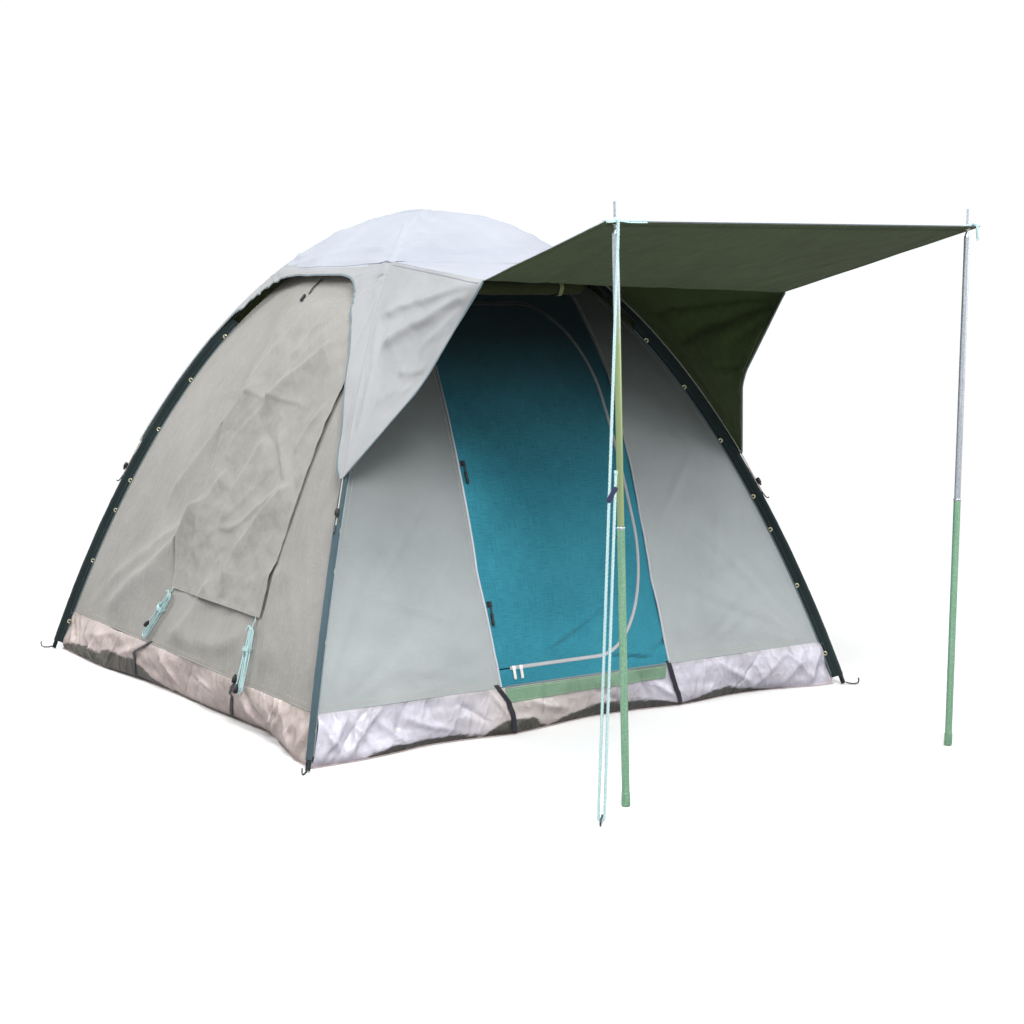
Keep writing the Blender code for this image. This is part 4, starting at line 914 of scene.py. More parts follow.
floorMesh = newMesh("floor", [(-30, -30, 0), (30, -30, 0), (30, 30, 0), (-30, 30, 0)], [(0, 1, 2, 3)])
floor = place("floor", floorMesh)
floorPaint = Paint("floor", 0.9, specular=0.1)
seenFloor = floorPaint.node("LightPath")
floorPaint.put("Base Color", floorPaint.blend(seenFloor, (0.42, 0.42, 0.42, 1.0), (0.96, 0.96, 0.96, 1.0)))
east, north = floorPaint.split(floorPaint.places())[:2]
away = (east * east + (north + 0.4) * (north + 0.4)).math("SQRT").clamp(2.4, 5.5)
glow = floorPaint.node("Emission", {"Color": (1, 1, 1, 1), "Strength": 1.0})
mixed = floorPaint.node("MixShader",
                        {0: away * seenFloor, 1: Wire(floorPaint.tree, floorPaint.shader.outputs[0]), 2: glow})
floorPaint.tree.links.new(mixed.socket, floorPaint.tree.nodes["Material Output"].inputs["Surface"])
floorMesh.materials.append(floorPaint.material)
floor.location.z = -0.0008

# Ropes

ropeFacts = dict(
    radius=0.0048, hank=0.0027, loop=0.015, edgeRoom=0.005, tail=0.03, pegPlace=(-0.777, -2.289),
    hook=0.024, spread=0.018, runnerHeight=1.015, runnerLength=0.06, past=0.03, turns=3,
    halfLength=0.124, round=0.015, pitch=0.006, lead=0.032, loopPoints=24,
)
awningFacts = dict(
    eaveHalf=0.69, eaveForward=1.46, eaveHeight=1.632, share=0.55, sag=0.012,
    left=(-0.694, -2.16, 1.843), right=(0.917, -2.21, 1.862), inset=(0.058, 0.024), leftRise=0.037,
    leftInset=0.016,
    leftWing=(-0.74, -1.17, 1.303), rightWing=(0.71, -1.2, 1.29),
)


def crossingRise(reach, rise):
    joint = bowLine(tent["flyLift"])
    jointReach = np.interp(tent["jointHeight"], joint[:, 1], joint[:, 0])
    return rise * (1 - np.minimum(1.0, np.abs(reach) / jointReach) ** 2) ** 2


def flyRidge():
    line = bowLine(tent["flyLift"])
    archTop = tent["bowHeight"] + tent["poleOut"] + 3 * tent["poleRadius"] + tent["touchGap"]
    rise = archTop + tent["flyRest"] - line[-1, 1]
    line[:, 1] += crossingRise(line[:, 0], rise)
    return line


ridge = flyRidge()
ridgeLength = lengthsAlong(ridge)
ridgeSlope = unit(np.gradient(ridge, axis=0))


def ridgeAt(height):
    return np.interp(height, ridge[:, 1], ridge[:, 0])


def eaveCorner(hand):
    f = awningFacts
    if hand < 0:
        return np.array((f["leftInset"] - f["eaveHalf"], -f["eaveForward"], f["eaveHeight"] + f["leftRise"]))
    return np.array((f["eaveHalf"], -f["eaveForward"], f["eaveHeight"]))


def awningPoint(across, out):
    across, out = np.broadcast_arrays(np.asarray(across, float), np.asarray(out, float))
    f = awningFacts
    inner = ridgeAt(tent["knuckle"]) / math.sqrt(2)
    start = inner + tent["fly"]
    rows = [0.0, f["share"], 1.0]
    edges = []
    for hand, corner in ((-1, f["left"]), (1, f["right"])):
        stops = np.array([(hand * inner, -start, tent["knuckle"]), eaveCorner(hand), corner])
        edges.append(np.stack([np.interp(out, rows, stops[:, k]) for k in range(3)], axis=-1))
    share = np.where(out < f["share"], out / f["share"], (out - f["share"]) / (1 - f["share"]))
    sag = f["sag"] * np.sin(math.pi * share) * np.sin(math.pi * across)
    point = edges[0] * (1 - across[..., None]) + edges[1] * across[..., None]
    point[..., 2] -= sag
    return point


def spikePlace(hand):
    f = awningFacts
    aside, inside = f["inset"]
    width = f["right"][0] - f["left"][0]
    depth = -f["eaveForward"] - f["right"][1]
    across = aside / width if hand < 0 else 1 - aside / width / 2
    return Vector(awningPoint(across, 1 - (1 - f["share"]) * inside / depth))


def spikeRoute(hand):
    f, g = awningFacts, ropeFacts
    spike = spikePlace(hand)
    corner = f["left"] if hand < 0 else f["right"]
    slope = math.atan2(corner[2] - eaveCorner(hand)[2], -corner[1] - f["eaveForward"])
    lift = (tent["fly"] + g["radius"] + tent["touchGap"]) / math.cos(slope)
    route = []
    for degrees in (-68, -20, 38, 90, 144, 196):
        angle = math.radians(degrees)
        aside = Vector((-hand * math.cos(angle), math.sin(angle), -math.tan(slope) * math.sin(angle)))
        route.append(spike + aside * g["loop"] + Vector((0, 0, lift)))
    across = (spike.x + hand * g["loop"] * 0.85 - f["left"][0]) / (f["right"][0] - f["left"][0])
    edge = Vector(awningPoint(across, 1.0)) + Vector((0, 0, tent["fly"]))
    for ahead, up in ((-1.0, 1.6), (1.0, 1.0), (1.8, 0.0), (2.0, -4.0)):
        route.append(edge + Vector((0, -ahead * g["edgeRoom"], up * g["edgeRoom"])))
    return route


def smoothRoute(points, apart=0.003):
    points = [Vector(point) for point in points]
    padded = [2 * points[0] - points[1]] + points + [2 * points[-1] - points[-2]]
    found = []
    for before, start, end, after in zip(padded, padded[1:], padded[2:], padded[3:]):
        knots = [0.0]
        for first, second in ((before, start), (start, end), (end, after)):
            knots.append(knots[-1] + math.sqrt((second - first).length))
        count = max(2, int((end - start).length / apart))
        for index in range(count):
            t = knots[1] + (knots[2] - knots[1]) * index / count
            a = before.lerp(start, (t - knots[0]) / (knots[1] - knots[0]))
            b = start.lerp(end, (t - knots[1]) / (knots[2] - knots[1]))
            c = end.lerp(after, (t - knots[2]) / (knots[3] - knots[2]))
            d = a.lerp(b, (t - knots[0]) / (knots[2] - knots[0]))
            e = b.lerp(c, (t - knots[1]) / (knots[3] - knots[1]))
            found.append(d.lerp(e, (t - knots[1]) / (knots[2] - knots[1])))
    return np.array([tuple(point) for point in found + [points[-1]]])


def ropePiece(name, points, radius, nodes, body, size=None):
    made = swept(name, points, roundSection(radius * 1.05, 15, 3, 0.07), rope, turn=150.0, size=size)
    fitted(made, body, "rope_mint", *nodes)


# A flat bar, narrower at its waist, which sits slanting across the two strands.
def makeRunner(runnerFrame):
    turn, long, wide, deep = math.radians(62), 0.04, 0.0078, 0.0062
    outline = []
    for index in range(36):
        angle = 2 * math.pi * index / 36
        x = (long / 2 if math.cos(angle) > 0 else -long / 2) + wide * math.cos(angle)
        waist = 1 - 0.22 * math.exp(-((x / 0.012) ** 2))
        y = wide * math.sin(angle) * waist
        outline.append((x * math.cos(turn) - y * math.sin(turn), x * math.sin(turn) + y * math.cos(turn)))
    work = bmesh.new()
    under = [work.verts.new((x, -deep, z)) for x, z in outline]
    face = work.faces.new(under)
    grown = bmesh.ops.extrude_face_region(work, geom=[face])
    bmesh.ops.translate(work, vec=(0, 2 * deep, 0), verts=[v for v in grown["geom"]
        if isinstance(v, bmesh.types.BMVert)])
    bmesh.ops.recalc_face_normals(work, faces=work.faces)
    rims = [edge for edge in work.edges if abs(edge.verts[0].co.y - edge.verts[1].co.y) < 1e-6]
    bmesh.ops.bevel(work, geom=rims, offset=0.0022, segments=4, profile=0.6, affect="EDGES")
    mesh = bpy.data.meshes.new("guyRunner")
    work.to_mesh(mesh)
    work.free()
    mesh.materials.append(navyPlastic.material)
    mesh.transform(runnerFrame)
    fitted(smoothed(place("guyRunner", mesh), 40), "guy_runner", "black_plastic", "guy_runner")


def makeGuyRope():
    g = ropeFacts
    route = spikeRoute(-1)
    start = route[-1]
    hook = Vector((*g["pegPlace"], g["hook"]))
    spread = (start - hook).cross(Vector((0, 0, 1))).normalized()
    bend = g["spread"] / 2
    rise = (start - (hook - spread * bend)).normalized()
    strand = (start - (hook - spread * bend)).length
    route += [start - rise * strand * index / 7 for index in range(1, 7)]
    for index in range(9):
        angle = math.pi * index / 8
        route.append(hook - spread * bend * math.cos(angle) - rise * bend * math.sin(angle))
    aside = (spread - rise * spread.dot(rise)).normalized()
    onRope = hook + rise * (g["runnerHeight"] - hook.z) / rise.z
    runnerFrame = frameAt(onRope, aside, rise.cross(aside), rise)
    tail = (g["runnerHeight"] + g["runnerLength"] / 2 + g["past"] - hook.z) / rise.z
    route += [hook + spread * bend + rise * tail * index / 4 for index in range(1, 5)]
    fine = smoothRoute(route)
    ends = [fine[-1] + np.array(rise) * g["radius"] * share for share in (0.5, 1.5, 2.5, 3.0)]
    points = np.concatenate([fine, ends])
    size = np.ones(len(points))
    size[-4:] = (1.2, 1.45, 1.4, 1.0)
    ropePiece("guyRope", points, g["radius"], ["guy_rope"], "tent", size)
    makeRunner(runnerFrame)
    tie = spikeRoute(1)
    tie += [tie[-1] + Vector((g["radius"] * share, 0, -g["tail"] * share)) for share in (0.5, 1.0)]
    ropePiece("rightPoleTie", smoothRoute(tie), g["radius"], ["right_pole_tie"], "tent")


def hankPoint(turn, straight, across, up):
    r = ropeFacts["round"]
    straight = straight * (1 + 0.05 * math.sin(5.1 * turn))
    across, up = across * (1 + 0.18 * math.sin(2.3 * turn + 1)), up + across * (0.06 * math.sin(3.7 * turn))
    run, bend = 2 * straight, math.pi * r
    at = (turn % 1.0) * (2 * run + 2 * bend)
    if at < run:
        return -across * r + up * (straight - at)
    if at < run + bend:
        angle = (at - run) / r
        return -across * r * math.cos(angle) - up * (straight + r * math.sin(angle))
    if at < 2 * run + bend:
        return across * r + up * (at - run - bend - straight)
    angle = (at - 2 * run - bend) / r
    return across * r * math.cos(angle) + up * (straight + r * math.sin(angle))


# A point over a side's canvas, with the directions across, up and out from there.
def sideFrame(side, along, height, lift, reachUp):
    here = Vector(stand(side, along, faceReach(height, lift), height))
    there = Vector(stand(side, along, faceReach(height + reachUp, lift), height + reachUp))
    across = Vector(sideAxes[side][0])
    up = (there - here).normalized() * math.copysign(1, reachUp)
    return here, across, up, across.cross(up)


def frameAt(origin, *axes):
    turn = Matrix(axes).transposed().to_4x4()
    turn.translation = origin
    return turn


# A small round toggle with its push button, gripping the rope.
def cordLock(name, middle, axis, body):
    turn = Vector(axis).to_track_quat("Z", "Y").to_matrix().to_4x4()
    shape = [(0.0, 0.013), (0.006, 0.013), (0.0085, 0.01), (0.0092, 0.0), (0.0085, -0.01), (0.006, -0.013),
             (0.0, -0.013)]
    barrel = turnedShape(name + "Barrel", shape, Matrix.Translation(middle) @ turn, blackPlastic, 20)
    button = [(0.0, 0.021), (0.0038, 0.021), (0.0046, 0.0195), (0.0046, 0.012), (0.0, 0.012)]
    push = turnedShape(name + "Button", button, Matrix.Translation(middle) @ turn, blackPlastic, 16)
    return joined(name, [barrel, push], body, "black_plastic")


def makeFlapRopes():
    g = ropeFacts
    rear, front = ("flapRopeRear", "flap_rope_rear", -0.196, -0.172), ("flapRopeFront", "flap_rope_front",
        0.578, 0.035)
    for name, node, along, lean in (rear, front):
        height = flap["foot"] + g["round"]
        lift = 2 * tent["canvas"] + 2 * tent["layerGap"] + g["hank"]
        start = Vector(stand("left", along, faceReach(height, lift), height))
        middle = flap["foot"] - g["lead"] - g["halfLength"] - (0.008 if lean < 0 else 0.0)
        centre, across, up, out = sideFrame("left", along, middle, lift, g["halfLength"])
        turn = math.atan2(lean, 2 * g["halfLength"])
        across, up = (
            across * math.cos(turn) + up * math.sin(turn), up * math.cos(turn) - across * math.sin(turn)
        )
        centre = centre + across * lean / 2
        straight = g["halfLength"] - g["round"]
        lead = start.lerp(centre + up * g["halfLength"], 0.5) + out * g["hank"]
        points = [start, start.lerp(lead, 0.5) + out * g["hank"] / 2, lead]
        for index in range(g["turns"] * g["loopPoints"] + 1):
            share = index / g["loopPoints"]
            points.append(centre + hankPoint(share, straight, across, up) + out * (g["pitch"] * share))
        route = smoothRoute(points)
        ropePiece(name, route, g["hank"], [node], "window_flap_left")
        # Wraps of the rope's own end and one or two black stoppers hold the hank together.
        thick = g["pitch"] * g["turns"] / 2
        places = ((-0.55, 0.0),) if lean < 0 else ((-0.72, -0.016), (-1.06, 0.012))
        for index, (down, aside) in enumerate(places):
            stop = centre + up * straight * down + across * aside + out * (2 * thick + 0.011)
            cordLock(f"{name}Stopper{index}", stop, up + across * 0.2, "window_flap_left")
        wrap = []
        for index in range(61):
            angle = 2 * math.pi * 2.5 * index / 60
            spot = centre + up * (straight * 0.3 + 0.006 * index / 60 * 2.5) + out * thick
            wrap.append(spot + across * math.cos(angle) * (g["round"] + 0.0065) + out * math.sin(angle)
                        * (thick + 0.0065))
        band = swept(name + "Wrap", np.array([tuple(p) for p in wrap]), roundSection(0.0022, 10), rope)
        fitted(band, "window_flap_left", "rope_mint")


makeGuyRope()
makeFlapRopes()
print("ropes done")


# Groundsheet tub

tubWave, tubWaveLength, tubDip = 0.006, 0.42, 0.02
# how far the foot of a wall is drawn in, along the side
footLines = {
    "left": (
        (-1.25, 0.0), (-0.92, 0.004), (-0.67, 0.034), (-0.43, 0.07), (-0.15, 0.084), (0.15, 0.092),
        (0.35, 0.102), (0.55, 0.113), (0.7, 0.122), (0.77, 0.12), (0.87, 0.082), (1.02, 0.045), (1.16, 0.014),
        (1.25, 0.0),
    ),
    "front": (
        (-1.25, 0.0), (-1.08, 0.016), (-0.91, 0.038), (-0.74, 0.072), (-0.6, 0.066), (-0.4, 0.036),
        (-0.26, 0.052), (-0.08, 0.09), (0.08, 0.106), (0.26, 0.092), (0.44, 0.062), (0.56, 0.074),
        (0.7, 0.092), (0.88, 0.096), (1.06, 0.05), (1.25, 0.0),
    ),
}


def footIn(side, along):
    if side not in footLines:
        return 0.06 * (1 - (np.asarray(along) / half) ** 2)
    places, depths = zip(*footLines[side])
    fine = np.linspace(-half, half, 251)
    line = np.interp(fine, places, depths)
    for _ in range(8):
        line[1:-1] = (line[:-2] + 2 * line[1:-1] + line[2:]) / 4
    return np.maximum(np.interp(along, fine, line) - tubDip, 0.0) * np.clip((half - np.abs(along)) / 0.05, 0, 1)


def tubInward(side, share, height):
    up = np.clip(height / tent["tubHeight"], 0, 1)
    waves = 2 * math.pi * share * half / tubWaveLength + sideNames.index(side)
    return footIn(side, share * half) * (1 - up) ** 1.25 - tubWave * np.sin(waves) * np.sin(math.pi * up)


def onTub(side, along, height, lift):
    share = along / (faceReach(height) - tent["cornerTrim"])
    return stand(side, along, faceReach(height, lift) - tubInward(side, share, height), height)


# Rows for creased, over the place along a side and the height

tubCreases = {
    "left": (
        (0.5, 0.175, 0.76, 0.01, 0.022, 0.02), (0.56, 0.175, 0.84, 0.0, 0.016, -0.014),
        (-0.34, 0.172, -0.62, 0.06, 0.02, 0.016), (0.1, 0.105, 0.36, 0.085, 0.008, -0.01),
        (0.12, 0.122, 0.34, 0.1, 0.01, 0.01), (-0.46, 0.17, -1.0, 0.11, 0.024, 0.014),
        (-0.2, 0.165, 0.02, 0.03, 0.018, 0.012), (0.9, 0.17, 1.06, 0.02, 0.016, 0.012),
        (-0.3, 0.12, -0.16, 0.01, 0.012, -0.01),
    ),
    "front": (
        (-1.06, 0.172, -1.2, 0.02, 0.014, 0.016), (-0.98, 0.172, -1.14, 0.01, 0.012, -0.013),
        (-0.92, 0.168, -1.08, 0.03, 0.012, 0.012), (-0.84, 0.12, -0.6, 0.04, 0.014, 0.012),
        (-0.62, 0.15, -0.46, 0.05, 0.014, -0.012), (-0.3, 0.12, -0.1, 0.05, 0.014, 0.013),
        (0.02, 0.11, 0.18, 0.04, 0.012, -0.012), (0.3, 0.11, 0.44, 0.03, 0.012, 0.012),
        (0.6, 0.17, 0.84, 0.03, 0.016, 0.014), (0.96, 0.17, 1.14, 0.03, 0.014, 0.013),
        (-0.74, 0.172, -0.7, 0.06, 0.01, -0.01),
    ),
}


def tubFold(side, along, height):
    seed = 11 * sideNames.index(side)
    up = np.clip(height / tent["tubHeight"], 0, 1)
    soften = np.sin(math.pi * np.clip(up, 0, 1)) ** 0.6
    share = np.abs(along) / half
    pucker = (
        0.0045 * soft(along, height * 2.2, 0.075, seed + 1) + 0.009 * soft(along + height, height, 0.19,
            seed + 2)
    )
    sag = 0.013 * soft(along - height * 1.4, height * 0.6, 0.33, seed + 3)
    fold = (pucker + sag + 0.004) * soften
    for k in range(14):
        lean = 0.14 * math.sin(5.0 * k + seed)
        place = -half * 0.92 + half * 1.84 * (k + 0.35 * math.sin(3.0 * k)) / 13
        wide, deep = 0.009 + 0.004 * math.sin(k), 0.012 * math.sin(2.1 * k + seed)
        fold = fold + crease(along, height, (place, 0.178), (place + lean, 0.0), wide, deep)
    for k, (place, lean, depth) in enumerate(((0.94, 0.7, 0.013), (0.87, 1.2, 0.011), (0.79, 1.7, 0.012),
            (0.62, -1.2, 0.008))):
        for hand in (-1, 1):
            start = (hand * half * place, 0.165)
            end = (hand * half * (place - 0.09 * lean), 0.01)
            fold = fold + crease(along, height, start, end, 0.014, depth) * (1 - 0.15 * k)
    return creased(fold, along, height, tubCreases.get(side, ())) * np.clip((1 - share) / 0.03, 0, 1)


def makeTub():
    paints = {"front": tubFront, "left": tubLeft, "right": tubBack, "back": tubBack}
    for side in sideNames:
        def where(u, v, side=side):
            reach = faceReach(v) - tent["cornerTrim"]
            along = u * reach / half
            tuck = 0.016 * np.clip(1 - v / 0.035, 0, 1) ** 2
            return onTub(side, along, v, tubFold(side, along, v) - tuck)
        v = np.linspace(0.0, tent["tubHeight"] - tent["edgeGap"], 34)
        v[0] = 0.0006
        sheetPiece(f"tubWall_{side}", [f"tub_wall_{side}"], np.linspace(-half, half, 420), v, where,
                   paints[side],
                   slot="tub_vinyl", held="stretched", restsOn=["groundsheet_floor"])
        line = np.linspace(-half * 0.955, half * 0.955, 160)
        up = np.array(sideAxes[side][1])
        seams = [(onTub(side, line, z, 0.003 + tubFold(side, line, z + 0 * line)), up) for z in (0.1715, 0.165)]
        stitches(f"tubSeam_{side}", seams, tanThread)

    def floorWhere(u, v):
        edge = faceReach(0.0) - 0.0018
        x, y = u / half, v / half
        depthSide = np.where(v < 0, footIn("front", u), footIn("back", u))
        depthAcross = np.where(u < 0, footIn("left", -v), footIn("right", v))
        return np.stack([x * (edge - depthAcross), y * (edge - depthSide), 0.0004 * (1 + soft(u, v, 0.12, 4))],
                        axis=-1)

    grid = np.linspace(-half, half, 60)
    sheetPiece("groundsheetFloor", ["groundsheet_floor"], grid, grid, floorWhere, tubBack, thick=0.002,
               slot="tub_vinyl", held="laid")


makeTub()
print("tub done")


# Canvas walls

def sideRows(low, high, apart):
    return np.linspace(lengthAt(low), lengthAt(high), max(3, int((lengthAt(high) - lengthAt(low)) / apart)))


# How far a wall's canvas stands out of its plain curve.
def wallFold(side, x, z):
    seed = 40 + 9 * sideNames.index(side)
    reach = faceReach(z)
    room = np.clip((reach - np.abs(x)) / 0.1, 0, 1) * np.clip((z - 0.165) / 0.1, 0, 1)
    fold = 0.006 * soft(x + 0.6 * z, z - 0.4 * x, 0.34, seed) + 0.003 * soft(x - z, z, 0.11, seed + 1)
    for hand in (-1, 1):
        fold = fold + fan(x, z, (hand * 0.55, 1.66), 22, 0.0032, 0.5, seed + 3)
        fold = fold + fan(x, z, (hand * 1.22, 0.12), 26, 0.0028, 0.45, seed + 4)
    pulls = ((0.62, 1.3, -0.1, 0.5), (0.5, 1.1, -0.32, 0.34), (0.72, 0.95, 0.3, 0.3), (0.35, 1.45, -0.25, 0.95))
    for k, (a, b, c, d) in enumerate(pulls):
        hand = -1 if (k + sideNames.index(side)) % 2 else 1
        fold = fold + crease(x, z, (hand * a, b), (hand * c, d), 0.018, 0.0075)
    if side == "left":
        beside = np.clip(np.maximum(np.maximum(inFlap[0] - x, x - inFlap[1]), inFlap[2] - z) / 0.006, 0, 1)
        fold = fold * 0.5 + leftRidges(x, z) * beside
    return fold * room


leftFolds = (
    # a bent line of (place along the side, height), the depth, the widths of the slow and the steep slope
    (((0.44, 1.6), (0.357, 1.527), (0.144, 1.167), (-0.032, 0.999), (-0.1, 0.791), (-0.15, 0.66),
      (-0.336, 0.524), (-0.707, 0.301), (-0.86, 0.22)), 0.03, 0.11, 0.034),
    (((0.43, 1.42), (0.396, 1.378), (0.195, 1.199), (0.12, 1.13)), 0.02, 0.07, 0.022),
    (((0.088, 1.592), (0.001, 1.469), (-0.131, 1.295), (-0.21, 1.177)), 0.017, 0.08, 0.03),
    (((-0.4, 1.2), (-0.122, 1.202), (0.17, 1.182), (0.46, 1.174)), 0.0045, 0.014, 0.008),
    (((0.26, 1.1), (0.279, 1.07), (0.387, 0.981), (0.503, 0.885)), 0.007, 0.03, 0.016),
    (((0.545, 0.9), (0.516, 0.868), (0.414, 0.772), (0.313, 0.662), (0.277, 0.589), (0.263, 0.44)), 0.022, 0.08,
     0.034),
    (((-0.02, 1.26), (-0.169, 1.139), (-0.24, 1.065), (-0.338, 0.919), (-0.54, 0.73)), 0.018, 0.08, 0.034),
    (((-0.02, 0.8), (-0.192, 0.692), (-0.395, 0.6), (-0.773, 0.388), (-0.9, 0.32)), 0.018, 0.07, 0.026),
    (((0.05, 0.695), (0.078, 0.682), (0.16, 0.69), (0.245, 0.73), (0.3, 0.789), (0.477, 0.864)), 0.005, 0.016,
     0.01),
    (((0.22, 1.05), (0.184, 0.984), (0.107, 0.841), (0.09, 0.69)), 0.014, 0.06, 0.024),
    (((0.02, 0.9), (-0.04, 0.8), (-0.06, 0.62), (-0.02, 0.5)), 0.01, 0.05, 0.02),
    (((0.2, 1.58), (0.15, 1.44), (0.1, 1.34)), 0.008, 0.03, 0.018),
    (((0.56, 1.2), (0.5, 1.1), (0.47, 1.0)), 0.006, 0.016, 0.012),
    (((0.14, 0.5), (0.022, 0.321), (-0.16, 0.19)), 0.014, 0.06, 0.03),
    (((0.52, 0.34), (0.34, 0.27), (0.1, 0.235), (-0.1, 0.25)), 0.013, 0.04, 0.04),
    (((0.62, 0.62), (0.66, 0.42), (0.74, 0.22)), 0.009, 0.05, 0.04),
)
inFlap = (-0.225, 0.612, 0.414)


def leftRidges(x, z):
    return 1.55 * sum(ridgeLine(x, z, *fold) for fold in leftFolds)


def flapFold(side, x, z):
    seed = 70 + sideNames.index(side)
    fold = 0.0045 * soft(x + 0.5 * z, z - 0.5 * x, 0.2, seed) + 0.0034 * soft(x + z, z - x, 0.07, seed + 5)
    fold = (
        fold + 0.0015 * soft(x * 1.2 + z, z * 0.6 - x, 0.028, seed + 6)
        + 0.0075 * (1 + soft(x, z, 0.3, seed + 9))
    )
    if side == "left":
        fold = fold * np.clip((x - flapEnds(side, z)[0]) / 0.07, 0.05, 1)
    fold = fold + leftRidges(x if side == "left" else -x, z) * (1.0 if side == "left" else 0.6)
    return fold * np.clip((flap["top"] - z) / 0.05, 0, 1)


windowShift = {"left": 0.2, "right": -0.2, "back": 0.0}


def flapEnds(side, height):
    centre = windowShift[side]
    near = np.maximum(0.0, (height - 1.3) / 0.3)
    room = faceReach(height) - 0.1 - 0.08 * near
    return np.maximum(centre - flap["halfWidth"], -room), np.minimum(centre + flap["halfWidth"], room)


def flapBend(side):
    # A flap stays sewn along its top; this gives its body and two points over the first part of its length.
    ends = [tuple(float(c) for c in np.ravel(onSide(side, 0.0, height, 0.0))) for height in (1.598, 1.45)]
    return ("tent", f"window_flap_{side}", *ends)


# The door stays sewn along its left edge.
doorBend = ("tent", "mesh_door", (-0.418, -1.22354, 0.26825), (-0.348, -1.22354, 0.26825))


# Maps u from 0 to 1 across the ends at each row of v, a length up the face.
def between(side, ends, rows, lift, count):
    def where(u, v):
        height = heightAt(v)
        first, last = ends(height)
        along = first + (last - first) * u
        return onSide(side, along, height, lift(along, height))
    return np.linspace(0, 1, count), rows, where


# The outward normal of a side at a height.
def outFacing(side, height):
    outward = np.interp(height, faceLine[:, 1], faceNormal[:, 0])
    upward = np.interp(height, faceLine[:, 1], faceNormal[:, 1])
    return stand(side, 0.0, outward, upward)


def onCloth(side, x, z, fold, lift):
    x, z = np.broadcast_arrays(np.asarray(x, float), np.asarray(z, float))
    return onSide(side, x, z, fold(x, z) + lift)


def sewn(side, x, z, fold, lift):
    return onCloth(side, x, z, fold, lift), outFacing(side, z)


def makeWalls():
    paints = {"left": canvasLeft, "right": canvasBack, "back": canvasBack}
    for side in ("left", "right", "back"):
        centre, inner = windowShift[side], window["halfWidth"]
        fold = lambda x, z, side=side: wallFold(side, x, z)
        low, high = lengthAt(tent["tubHeight"]), lengthAt(tent["wallTop"])
        sill, lintel = lengthAt(window["low"]), lengthAt(window["high"])
        rows = through(low, (18, sill), (56, lintel), (18, high))
        columns = through(-1, (44, 0), (42, 1), (44, 2))

        def where(u, v, side=side, centre=centre, fold=fold):
            height = heightAt(v)
            reach = faceReach(height) - tent["cornerTrim"]
            first = np.minimum(centre + inner, reach * window["room"])
            start = np.maximum(centre - inner, -reach * window["room"])
            beyond = np.where(u > 1, first + (reach - first) * (u - 1), start + (first - start) * u)
            along = np.where(u < 0, start + (start + reach) * u, beyond)
            return onSide(side, along, height, fold(along, height))

        keep = lambda u, v: ~((u > 0) & (u < 1) & (v > sill) & (v < lintel))
        sheetPiece(f"canvasWall_{side}", [f"{side}_wall"], columns, rows, where, paints[side], canvasInside,
                   keep=keep)
        netRows = np.linspace(lengthAt(window["netLow"]), lengthAt(window["netHigh"]), 60)
        def netEnds(height, centre=centre):
            room = faceReach(height) * window["netRoom"]
            return np.maximum(centre - window["netHalf"], -room), np.minimum(centre + window["netHalf"], room)

        net = between(side, netEnds, netRows, lambda x, z: 0.001 * soft(x, z, 0.3, 3), 50)
        sheetPiece(f"windowNet_{side}", [f"window_net_{side}"], *net, netTeal, thick=0.0012, slot="mesh_teal")

        def lift(x, z, side=side):
            under = tent["canvas"] + tent["layerGap"] + np.maximum(wallFold(side, x, z), 0.0)
            return under + flapFold(side, x, z)

        fine = (190, 128) if side == "left" else (110, 74)
        flapRows = np.linspace(lengthAt(flap["foot"]), lengthAt(flap["top"]), fine[0])
        cloth = between(side, lambda h, side=side: flapEnds(side, h), flapRows, lift, fine[1])
        sheetPiece(f"windowFlap_{side}", [f"window_flap_{side}"], *cloth, paints[side], canvasInside,
                   body=flapBend(side), held="hung", restsOn=[f"canvasWall_{side}"])
        heights = np.linspace(0.424, 1.585, 120)
        first, last = flapEnds(side, heights)
        rows = [(first + 0.01, heights), (last - 0.01, heights)]
        for edge, count, places in ((0.426, 90, (0.43,)), (1.59, 60, (1.586, 1.578))):
            first, last = flapEnds(side, edge)
            rows += [(np.linspace(first + 0.01, last - 0.01, count), np.full(count, z)) for z in places]
        lines = [(onSide(side, x, z, lift(x, z) + threadLift), outFacing(side, z)) for x, z in rows]
        stitches(f"flapStitches_{side}", lines, tanThread, flapBend(side))
        x = np.linspace(-half * 0.93, half * 0.93, 150)
        seams = []
        for z in seamHeights:
            seams.append(sewn(side, x * faceReach(z) / half, np.full(150, z), fold, stitchLift))
        for hand in (-1, 1):
            z = np.linspace(0.21, 1.66, 140)
            x = hand * (faceReach(z) - 0.022)
            seams.append(sewn(side, x, z, fold, stitchLift))
        stitches(f"wallStitches_{side}", seams, tanThread)
        z = np.full(150, weltHeight)
        x = np.linspace(-half * 0.965, half * 0.965, 150) * faceReach(weltHeight) / half
        tape(f"tubWelt_{side}", *sewn(side, x, z, fold, tapeLift), 0.006, paints[side], "canvas_tan", 0.002)


# Front

zipBottom, zipTop, zipSide, zipGap = 0.24, 1.58, 0.335, 0.002


def zipLine(grow, count):
    past = float(edgeAt(doorLeft, zipBottom)) + 0.052
    low, side, high = zipBottom - grow, zipSide + grow, zipTop + grow
    points = [(past, low)]
    for index in range(count):
        angle = -math.pi / 2 + math.pi / 2 * index / (count - 1)
        points.append((side - 0.29 + 0.29 * math.cos(angle), low + 0.5 + 0.5 * math.sin(angle)))
    for index in range(count):
        angle = math.pi / 2 * index / (count - 1)
        points.append((side - 0.26 + 0.26 * math.cos(angle), high - 0.37 + 0.37 * math.sin(angle)))
    points.append((float(edgeAt(doorLeft, high)) + 0.012, high))
    return np.array(points)


